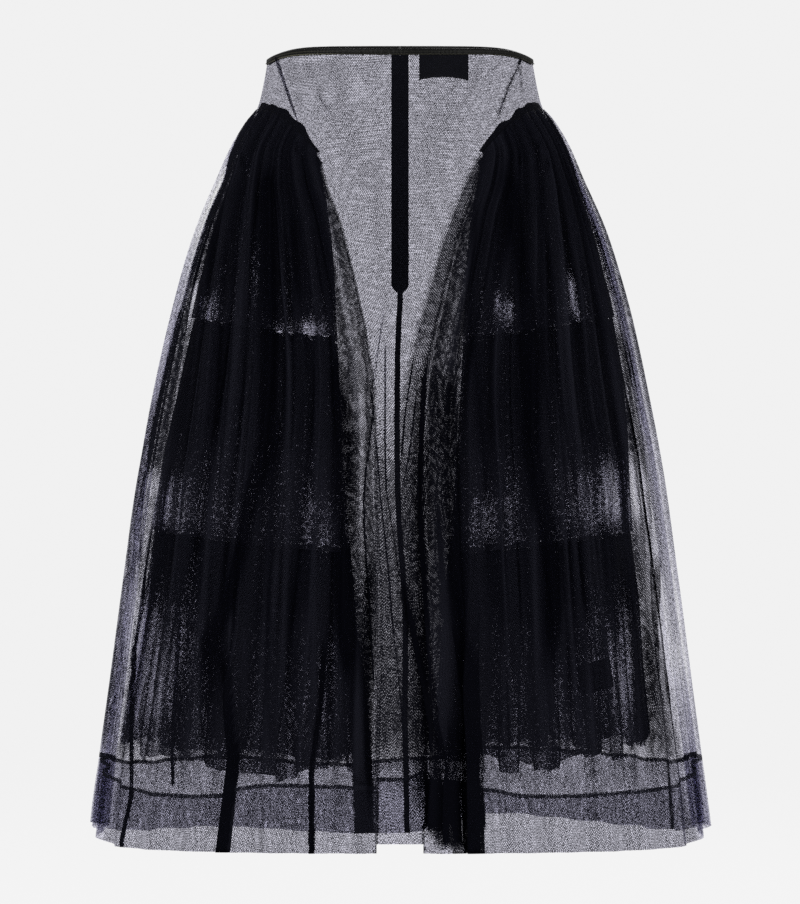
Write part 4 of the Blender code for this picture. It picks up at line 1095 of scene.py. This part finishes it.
def woven_material(name, colour, thread, roughness, specular):
    """Plain weave: threads cross over and under, with slight changes in colour."""
    material, tree, shader = new_material(name, colour, roughness, specular)
    place = add_node(tree, "ShaderNodeTexCoord").outputs["Object"]
    threads = {"Vector": place, "Scale": 1 / thread / WAVE_LENGTH, "Distortion": 0.6, "Detail": 1.0}
    across, along = [add_node(tree, "ShaderNodeTexWave", threads, wave_type="BANDS",
                              bands_direction=way).outputs["Fac"] for way in "XZ"]
    weave = add_node(tree, "ShaderNodeMath", {0: across, 1: along}, operation="MULTIPLY").outputs[0]
    blotch = add_node(tree, "ShaderNodeTexNoise", {"Vector": place, "Scale": 90.0, "Detail": 3.0})
    both = add_node(tree, "ShaderNodeMath", {0: weave, 1: blotch.outputs["Fac"]},
                    operation="MULTIPLY").outputs[0]
    tint_by(tree, shader, both, *[tuple(c * k for c in colour) + (1,) for k in WOVEN_SHADES])
    bump = add_node(tree, "ShaderNodeBump", {"Height": weave, "Strength": 0.5,
                                             "Distance": 0.15 * MM})
    tree.links.new(bump.outputs["Normal"], shader.inputs["Normal"])
    return material, tree, shader


SATIN, satin_tree, satin_shader = woven_material("satin", (0.003, 0.003, 0.0028), 0.35 * MM,
                                                 0.36, 0.3)
satin_shader.inputs["Sheen Weight"].default_value = 0.02
satin_shader.inputs["Sheen Tint"].default_value = (0.5, 0.5, 0.35, 1)
OLIVE_PAINTED_HIGHLIGHT = (0.26, 0.25, 0.18, 1)            # painted highlight along the binding's edges, strongest at the front left
tint_by(satin_tree, satin_shader,
        add_node(satin_tree, "ShaderNodeAttribute", attribute_name="shine").outputs["Fac"],
        satin_shader.inputs["Base Color"].links[0].from_socket, OLIVE_PAINTED_HIGHLIGHT)
BLUE_BLACK = (0.0045, 0.005, 0.0085)
TAPE = woven_material("zip_tape", BLUE_BLACK, 0.5 * MM, 0.8, 0.15)[0]
LABEL = woven_material("label_cloth", BLUE_BLACK, 0.3 * MM, 0.6, 0.2)[0]
THREAD = woven_material("thread", (0.006, 0.006, 0.009), 0.2 * MM, 0.6, 0.3)[0]


def metal_material(name):
    """Black enamel with fine scratches in its roughness."""
    material, tree, shader = new_material(name, (0.02, 0.02, 0.023), 0.35, 0.5)
    shader.inputs["Metallic"].default_value = 0.6
    place = add_node(tree, "ShaderNodeTexCoord").outputs["Object"]
    scratch = add_node(tree, "ShaderNodeTexNoise", {"Vector": place, "Scale": 900.0,
                                                    "Detail": 4.0}).outputs["Fac"]
    rough = add_node(tree, "ShaderNodeMapRange", {"Value": scratch, "To Min": 0.25, "To Max": 0.55})
    tree.links.new(rough.outputs[0], shader.inputs["Roughness"])
    return material


METAL = metal_material("dark_metal")
for node in ("zip_slider", "zip_pull"):
    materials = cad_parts[node].data.materials
    materials.clear()
    materials.append(METAL)


# ---------------------------------------------------------------- bindings
def strip_points(path, out, up, section):
    """A strip whose section of (out, up) lines in millimetres is carried along a path."""
    section = np.array([line[:2] for line in section]) * MM
    points = path + section[:, 0, None, None] * out + section[:, 1, None, None] * up
    across = np.linalg.norm(np.diff(path, axis=0), axis=-1).cumsum()
    down = np.linalg.norm(np.diff(section, axis=0), axis=-1).cumsum()
    uv = np.stack(np.meshgrid([0, *across], [0, *down]), axis=-1)
    return points, uv


# Out and up, from inside the waist over the top edge to the outside, and how much painted
# highlight each line of it gets
BINDING_SECTION = (
    (-1.5, -3.6, 0), (-1.7, -5.4, 0.2), (-2.1, -5.6, 0.6), (-2.3, -5.2, 0.3), (-2.3, -2.4, 0),
    (-2.2, -0.7, 0), (-1.7, -0.1, 0.1), (-0.8, 0.1, 0.1), (0.1, -0.1, 0), (0.6, -0.7, 0),
    (0.8, -2.3, 0), (0.8, -2.6, 0.3), (0.8, -2.9, 0.3), (0.8, -3.2, 0), (0.8, -4.6, 0),
    (0.8, -4.9, 1), (0.7, -5.5, 1), (0.5, -5.8, 0.6), (0.1, -5.4, 0), (0, -3.6, 0),
)
BINDING_COLUMNS = 1100
PUCKER_OUT, PUCKER_UP = 0.07, 0.08              # in millimetres
PUCKER_SHINES = 0.25
ZIP_SLIT = 0.04 * MM
WAIST_HALF_DEPTH = 98         # in millimetres
SHINE_MIDDLE, SHINE_WIDTH = -0.72, 0.24        # where the painted highlight on the front edge lies, from -1 to 1 across
SHINE_ELSEWHERE, SHINE_THERE = 0.22, 0.78
CRUMPLE_UP, CRUMPLE_IN = 0.9, 0.5              # in millimetres


def build_waist_binding():
    rng = np.random.default_rng(41)
    slit = ZIP_SLIT / WAIST_HALF_DEPTH / MM
    angles = np.linspace(TO_BACK + slit, 2.5 * math.pi - slit, BINDING_COLUMNS)
    tops = waist_top(angles)
    out = body_normal(angles, tops)
    up = np.stack([0 * angles, 0 * angles, 1 + 0 * angles], axis=-1)
    pucker = ripples(angles, rng, rng.integers, 40, 240, 9)
    lower = np.array([line[1] < -3 for line in BINDING_SECTION])
    points, uv = strip_points(body_point(angles, tops), out, up, BINDING_SECTION)
    wobble = (pucker * PUCKER_OUT * MM)[:, None] * out * np.where(lower, 1, 0.5)[:, None, None]
    wobble = wobble + (pucker * PUCKER_UP * MM)[:, None] * up * lower[:, None, None]
    piece = cloth_piece("waist_binding", "satin", points + wobble, uv, SATIN, "satin",
                        flat=(0.71, 0.0195), held="folded")
    # painted highlight: a little all round, most at the front left where the key light stands, and
    # uneven with the puckers
    gleam = np.exp(-((np.cos(angles) - SHINE_MIDDLE) / SHINE_WIDTH) ** 4) * (np.sin(angles) < 0)
    lit = SHINE_ELSEWHERE + SHINE_THERE * gleam
    shine = np.array([line[2] for line in BINDING_SECTION])[:, None] * lit
    shine *= 1 + PUCKER_SHINES * pucker / 4
    set_values(piece.data, shine=np.clip(shine, 0, 1))


build_waist_binding()

HIP_BAND_SECTION = ((-1.5, -2.2), (-1.5, 0.4), (-1.5, 3.4), (-1.7, 6.2), (-2.2, 6.8),
                    (-2.7, 6.2), (-2.8, 3.4), (-2.8, 0.4), (-2.8, -2.2))
HIP_BAND_COLUMNS = 420
HIP_BAND_HEIGHT = 6.8         # of its section
HIP_BAND_TAPER = math.radians(14)      # over which the band narrows towards its two ends
HIP_BAND_END = 0.3
CRUMPLE = {LEFT: 0.5, RIGHT: 1.3}


def build_hip_binding(side):
    """The seam allowance of the gathers, bound and turned up; it lies crumpled."""
    rng = np.random.default_rng(43 + side)
    angles = np.linspace(-HIP_SEAM_ANGLE, HIP_SEAM_ANGLE, HIP_BAND_COLUMNS)
    heights = hip_seam(angles)
    path = body_point(angles, heights)
    out = body_normal(angles, heights)
    up = unit(np.cross(out, unit(np.gradient(path, axis=0))))
    up *= np.sign(up[:, 2:])
    crumple = ripples(angles, rng, rng.uniform, 5, 34, 10) * CRUMPLE[side]
    ends = smoothstep((HIP_SEAM_ANGLE - np.abs(angles)) / HIP_BAND_TAPER)
    up *= mix(HIP_BAND_END, 1, ends)[:, None]
    lean = np.array([max(p[1], 0) for p in HIP_BAND_SECTION]) / HIP_BAND_HEIGHT
    wobble = (crumple * CRUMPLE_UP * MM)[:, None] * up * lean[:, None, None]
    wobble = wobble - np.abs(crumple * CRUMPLE_IN * MM)[:, None] * out * lean[:, None, None]
    points, uv = strip_points(path, out, up, HIP_BAND_SECTION)
    cloth_piece("hip_binding_" + SIDE_NAMES[side], "satin", mirrored(points + wobble, side), uv,
                TAPE, "satin", flat=(0.27, 0.019), held="folded")


build_hip_binding(LEFT)
build_hip_binding(RIGHT)


# ---------------------------------------------------------------- zip, seam binding and labels
def back_points(x, z, out):
    """Points of the back that lie x from the middle and `out` outside the body surface."""
    x, z = np.broadcast_arrays(np.asarray(x, float), np.asarray(z, float))
    quarter = angle_of_half_width(np.abs(x), z)
    angle = np.where(x > 0, quarter, math.pi - quarter)
    return body_point(angle, z) + body_normal(angle, z) * np.asarray(out)[..., None]


TRIM_OUT = -1.9 * MM          # tapes and seam binding lie inside the back panels
HEM_TRIM_OUT = -3.0 * MM      # and inside the turned-up hem
ZIP_HALF_WIDTH = 8.7 * MM
ZIP_INNER_EDGE = 0.1 * MM
ZIP_TAPER = 9 * MM
SEAM_BINDING_HALF_WIDTH = 2.8 * MM
TAPE_FOLD = 0.6 * MM          # between the two layers of a folded tape
TRIM_TUCK = 2 * MM            # how far trims run up inside the binding
TAPE_EDGE_WAVE, TAPE_RIPPLE, BINDING_WAVE = (0.12 * MM, 210), (0.2 * MM, 160), (0.15 * MM, 190)
HEM_STEP_HEIGHT, HEM_STEP = 78 * MM, 8 * MM    # over the hem, where the seam binding lies deeper


def slight_wave(wave, z, rng):
    """Waves down a strip, of the given size and number."""
    size, number = wave
    return size * np.sin(z * number + rng.uniform(0, 6))


def trim_piece(node, points, material, slot, width, length, held="folded"):
    """A thin strip of woven cloth that was cut to the given width and length."""
    rows, columns = points.shape[:2]
    uv = np.stack(np.meshgrid(np.linspace(0, width, columns), np.linspace(0, -length, rows)),
                  axis=-1)
    cloth_piece(node, "cloth", points, uv, material, slot, flat=(width, length), held=held)


def build_zip_tape(side):
    """One tape of the zip, with its outer edge turned under."""
    rng = np.random.default_rng(61 + side)
    top = float(waist_top(TO_BACK)) - BINDING_HEIGHT + TRIM_TUCK
    z = np.concatenate([np.linspace(top, ZIP_END + ZIP_TAPER, 150),
                        ZIP_END + ZIP_TAPER * np.array([0.8, 0.6, 0.45, 0.3, 0.15, 0.05, 0])])
    left = np.clip((ZIP_END + ZIP_TAPER - z) / ZIP_TAPER, 0, 1)
    outer = mix(ZIP_HALF_WIDTH, 0.45 * ZIP_HALF_WIDTH, left ** 2)
    outer += slight_wave(TAPE_EDGE_WAVE, z, rng)
    share = np.array([0, 0.06, 0.3, 0.5, 0.7, 0.88, 0.96, 1, 1, 0.96, 0.82, 0.69])
    x = mix(ZIP_INNER_EDGE, outer[:, None], share)
    lift = TAPE_FOLD * np.array([1, 1, 1, 1, 1, 1, 1.1, 0.8, 0.3, 0, 0, 0])
    ripple = slight_wave(TAPE_RIPPLE, z, rng)[:, None] * share
    points = back_points(side * x, np.broadcast_to(z[:, None], x.shape), TRIM_OUT - lift + ripple)
    trim_piece("zip_tape_" + SIDE_NAMES[side], points, TAPE, "zip_tape",
               1.31 * ZIP_HALF_WIDTH, float(z[0] - z[-1]))


def build_seam_binding():
    """The tape folded round the centre back seam, which sways as the back does."""
    rng = np.random.default_rng(67)
    hem = float(hem_height(np.array(TO_BACK), 1))
    z = np.linspace(ZIP_END + 5 * MM, hem, 260)
    across = np.array([-0.9, -0.5, 0, 0.5, 0.9, 1, 1, 0.9, 0.4, 0, -0.4, -0.9, -1, -1, -0.9])
    fold = TAPE_FOLD * np.array([0, 0, 0, 0, 0, 0.2, 0.8, 1, 1.2, 1.3, 1.2, 1, 0.8, 0.2, 0])
    x = across * SEAM_BINDING_HALF_WIDTH + back_sway(np.zeros(z.shape), z)[:, None]
    x = x + slight_wave(BINDING_WAVE, z, rng)[:, None]
    at_hem = smoothstep((hem + HEM_STEP_HEIGHT - z) / HEM_STEP)[:, None]
    out = mix(TRIM_OUT, HEM_TRIM_OUT, at_hem) - fold
    points = back_points(x, np.broadcast_to(z[:, None], x.shape), out)
    trim_piece("back_seam_binding", points, TAPE, "zip_tape",
               4.1 * SEAM_BINDING_HALF_WIDTH, float(z[0] - z[-1]))


WAIST_LABEL = (19.2 * MM, 68.6 * MM)      # from the middle to its two sides
WAIST_LABEL_HEIGHT = 27.5 * MM
WAIST_LABEL_ARCH = 3.4 * MM
WAIST_LABEL_INSET = 2.3 * MM
WAIST_LABEL_BOW, WAIST_LABEL_HEM = 1.6 * MM, 0.25 * MM


def build_waist_label():
    """A blank label sewn in at the binding; its loose lower edge bows a little inwards."""
    share = np.linspace(0, 1, 41)
    x = mix(*WAIST_LABEL, share)
    middle = 1 - (2 * share - 1) ** 2
    tops = waist_top(angle_of_half_width(x, np.zeros(x.shape))) - BINDING_HEIGHT + TRIM_TUCK
    down = np.concatenate([[0, 0.03], np.linspace(0.08, 0.94, 14), [0.97, 1]])[:, None]
    z = tops - down * (WAIST_LABEL_HEIGHT - WAIST_LABEL_ARCH * middle)
    bow = WAIST_LABEL_BOW * middle * down ** 2 + WAIST_LABEL_HEM * (down > 0.95)
    points = back_points(np.broadcast_to(x, z.shape), z, -WAIST_LABEL_INSET - bow)
    trim_piece("waist_label", points, LABEL, "label_cloth", WAIST_LABEL[1] - WAIST_LABEL[0],
               WAIST_LABEL_HEIGHT, "hung")


CARE_LABEL_CENTRE = (208 * MM, -592 * MM)
CARE_LABEL_HALF_SIZE = (22 * MM, 14 * MM)
CARE_LABEL_TILT = math.radians(12)
CARE_LABEL_INSET = 42.2 * MM
CARE_LABEL_CURL, CARE_LABEL_LENGTH = 1.2 * MM, 40       # the second in millimetres


def build_care_label():
    """A blank label on the inner crests of the right petticoat's last tier, at the front."""
    half_width, half_height = CARE_LABEL_HALF_SIZE
    across, up = np.meshgrid(np.linspace(-1, 1, 31) * half_width,
                             np.linspace(1, -1, 21) * half_height)
    cos, sin = math.cos(CARE_LABEL_TILT), math.sin(CARE_LABEL_TILT)
    x = CARE_LABEL_CENTRE[0] + cos * across - sin * up
    z = CARE_LABEL_CENTRE[1] + sin * across + cos * up
    curl = CARE_LABEL_CURL * (across / half_width) ** 2 * (0.5 - up / CARE_LABEL_LENGTH / MM)
    angle = -angle_of_half_width(x, z)
    points = body_point(angle, z) - body_normal(angle, z) * (CARE_LABEL_INSET + curl)[..., None]
    trim_piece("care_label", points, LABEL, "label_cloth", 2 * half_width, 2 * half_height, "hung")


build_zip_tape(LEFT)
build_zip_tape(RIGHT)
build_seam_binding()
build_waist_label()
build_care_label()


# ---------------------------------------------------------------- zip coil and stitching
COIL_PITCH = 1.3 * MM
COIL_TOP = 10 * MM
COIL_HALF_WIDTH = 1.35 * MM
COIL_HALF_HEIGHT = 0.55 * MM
COIL_WIRE, COIL_CORD = 0.28 * MM, 0.75 * MM    # their radii
COIL_OUT = -1.15 * MM
COIL_STEPS = 10
COIL_ASIDE = 0.95 * MM        # between the middle and each coil's own
COIL_STOP, CORD_STOP = 4 * MM, 3 * MM          # above the tapes' end


def add_wire(name, points, radius, resolution):
    wire = bpy.data.curves.new(name, "CURVE")
    wire.dimensions = "3D"
    wire.bevel_depth = radius
    wire.bevel_resolution = resolution
    wire.use_fill_caps = True
    spline = wire.splines.new("POLY")
    spline.points.add(len(points) - 1)
    spline.points.foreach_set("co", np.column_stack([points, np.ones(len(points))]).ravel())
    add_piece(name, wire, TAPE)


def build_coil(side):
    turns = (COIL_TOP - ZIP_END - COIL_STOP) / COIL_PITCH
    turn = np.arange(0, turns, 1 / COIL_STEPS)
    z = COIL_TOP - (turn + (0.5 if side == RIGHT else 0)) * COIL_PITCH
    swing = 2 * math.pi * turn
    x = side * COIL_ASIDE + COIL_HALF_WIDTH * np.cos(swing)
    points = back_points(x, z, COIL_OUT + COIL_HALF_HEIGHT * np.sin(swing))
    add_wire("zip_coil_" + SIDE_NAMES[side], points, COIL_WIRE, 1)


build_coil(LEFT)
build_coil(RIGHT)
# the filler cord that the coils are sewn round
add_wire("zip_cord", back_points(np.zeros(60), np.linspace(COIL_TOP, ZIP_END + CORD_STOP, 60),
                                 COIL_OUT), COIL_CORD, 2)

STITCH_RADIUS = 0.2 * MM
STITCH_SHARE = 0.72           # of the pitch that a stitch is long
STITCH_ALONG = np.array([0, 0.12, 0.5, 0.88, 1])
STITCH_BOW = np.array([-0.6, 0.35, 0.6, 0.35, -0.6])
STITCH_THICKNESS = np.array([0.45, 0.95, 1.0, 0.95, 0.45])
STITCH_SIDES = 6
STITCH_RISE = 0.3             # of its radius, out of the cloth
WAIST_STITCH_DROP = 4.7 * MM  # below the waist's upper edge
WAIST_STITCH_OUT = 0.85       # in millimetres
WAIST_STITCH_PITCH, ZIP_STITCH_PITCH = 2.8 * MM, 3.0 * MM
ZIP_STITCH_ASIDE, ZIP_STITCH_STOP = 6.4 * MM, 12 * MM
ZIP_STITCH_TOP, ZIP_STITCH_POINTS = -2 * MM, 200


def build_stitches(name, path, out, pitch):
    """A row of stitches on a path: each is a short six-sided thread that bows outwards."""
    lengths = np.concatenate([[0], np.linalg.norm(np.diff(path, axis=0), axis=-1).cumsum()])
    count = int(lengths[-1] / pitch)
    at = (np.arange(count) * pitch)[:, None] + STITCH_ALONG * pitch * STITCH_SHARE
    middle, away = [np.stack([np.interp(at, lengths, line[:, k]) for k in range(3)], axis=-1)
                    for line in (path, out)]
    away = unit(away)
    along = unit(middle[:, -1] - middle[:, 0])[:, None]
    aside = unit(np.cross(along, away))
    turn = np.arange(STITCH_SIDES) * math.pi / 3
    middle = middle + away * (STITCH_BOW * STITCH_RADIUS + STITCH_RISE * STITCH_RADIUS)[None, :, None]
    points = (middle[:, :, None] + (STITCH_THICKNESS * STITCH_RADIUS)[None, :, None, None] * (
        np.cos(turn)[None, None, :, None] * aside[:, :, None]
        + np.sin(turn)[None, None, :, None] * away[:, :, None]))
    index = np.arange(points[..., 0].size).reshape(points.shape[:3])
    nxt = np.roll(index, -1, axis=2)
    sides = np.stack([index[:, :-1], nxt[:, :-1], nxt[:, 1:], index[:, 1:]], axis=-1)
    faces = sides.reshape(-1, 4).tolist()
    faces += index[:, 0, ::-1].tolist() + index[:, -1].tolist()
    mesh = bpy.data.meshes.new(name)
    mesh.from_pydata(points.reshape(-1, 3).tolist(), [], faces)
    mesh.shade_smooth()
    add_piece(name, mesh, THREAD)


around = np.linspace(TO_BACK + 0.02, 2.5 * math.pi - 0.02, 1200)
heights = waist_top(around) - WAIST_STITCH_DROP
outward = body_normal(around, heights)
build_stitches("waist_stitching", body_point(around, heights) + outward * WAIST_STITCH_OUT * MM,
               outward, WAIST_STITCH_PITCH)
levels = np.linspace(ZIP_STITCH_TOP, ZIP_END + ZIP_STITCH_STOP, ZIP_STITCH_POINTS)
for side in (LEFT, RIGHT):
    build_stitches("zip_stitching_" + SIDE_NAMES[side],
                   back_points(np.full(ZIP_STITCH_POINTS, side * ZIP_STITCH_ASIDE), levels, 0),
                   body_normal(np.full(ZIP_STITCH_POINTS, TO_BACK), levels), ZIP_STITCH_PITCH)


# ---------------------------------------------------------------- camera, light and floor
PALE = 0.878
FLOOR_HEIGHT = -1.0
FLOOR_GREY = 0.1
AIR_LIGHT = 0.25
AIM = Vector((0, 0, -0.38))
CAMERA_PLACE, CAMERA_LENS = (0, -4.6, -0.382), 188.84

scene = bpy.context.scene
camera_data = bpy.data.cameras.new("camera")
camera_data.lens = CAMERA_LENS
camera_data.sensor_width = 36
camera_data.clip_end = 200
camera = bpy.data.objects.new("camera", camera_data)
camera.location = CAMERA_PLACE
camera.rotation_euler = (math.radians(90), 0, 0)
scene.collection.objects.link(camera)
scene.camera = camera
scene.view_settings.view_transform = "Standard"
scene.cycles.transparent_max_bounces = 40
scene.cycles.use_denoising = False             # it would smear the net

world = bpy.data.worlds.new("studio")
scene.world = world
world.use_nodes = True
tree = world.node_tree
shown = tree.nodes["Background"]
shown.inputs["Color"].default_value = (PALE, PALE, PALE, 1)
dim = add_node(tree, "ShaderNodeBackground", {"Color": (1, 1, 1, 1), "Strength": AIR_LIGHT})
path = add_node(tree, "ShaderNodeLightPath")
both = add_node(tree, "ShaderNodeMixShader", {0: path.outputs["Is Camera Ray"],
                                              1: dim.outputs[0], 2: shown.outputs[0]})
tree.links.new(both.outputs[0], tree.nodes["World Output"].inputs["Surface"])


def add_light(name, place, size, power):
    lamp = bpy.data.lights.new(name, "AREA")
    lamp.size = size
    lamp.energy = power
    light = bpy.data.objects.new(name, lamp)
    light.location = place
    light.rotation_euler = (AIM - Vector(place)).to_track_quat("-Z", "Y").to_euler()
    scene.collection.objects.link(light)


add_light("key", (-1.8, -2.6, 1.4), 1.6, 25)
add_light("fill", (2.4, -2.0, 0.6), 1.8, 12)
add_light("rim", (0.5, 2.5, 1.8), 1.5, 20)

bpy.ops.mesh.primitive_plane_add(size=60, location=(0, 0, FLOOR_HEIGHT))
floor = bpy.context.object
floor.name = "floor"
pale, _, shader = new_material("floor", (FLOOR_GREY, FLOOR_GREY, FLOOR_GREY), 1.0, 0.0)
shader.inputs["Emission Color"].default_value = (1, 1, 1, 1)
shader.inputs["Emission Strength"].default_value = PALE - FLOOR_GREY * AIR_LIGHT
floor.data.materials.append(pale)
floor.visible_diffuse = False
floor.visible_glossy = False
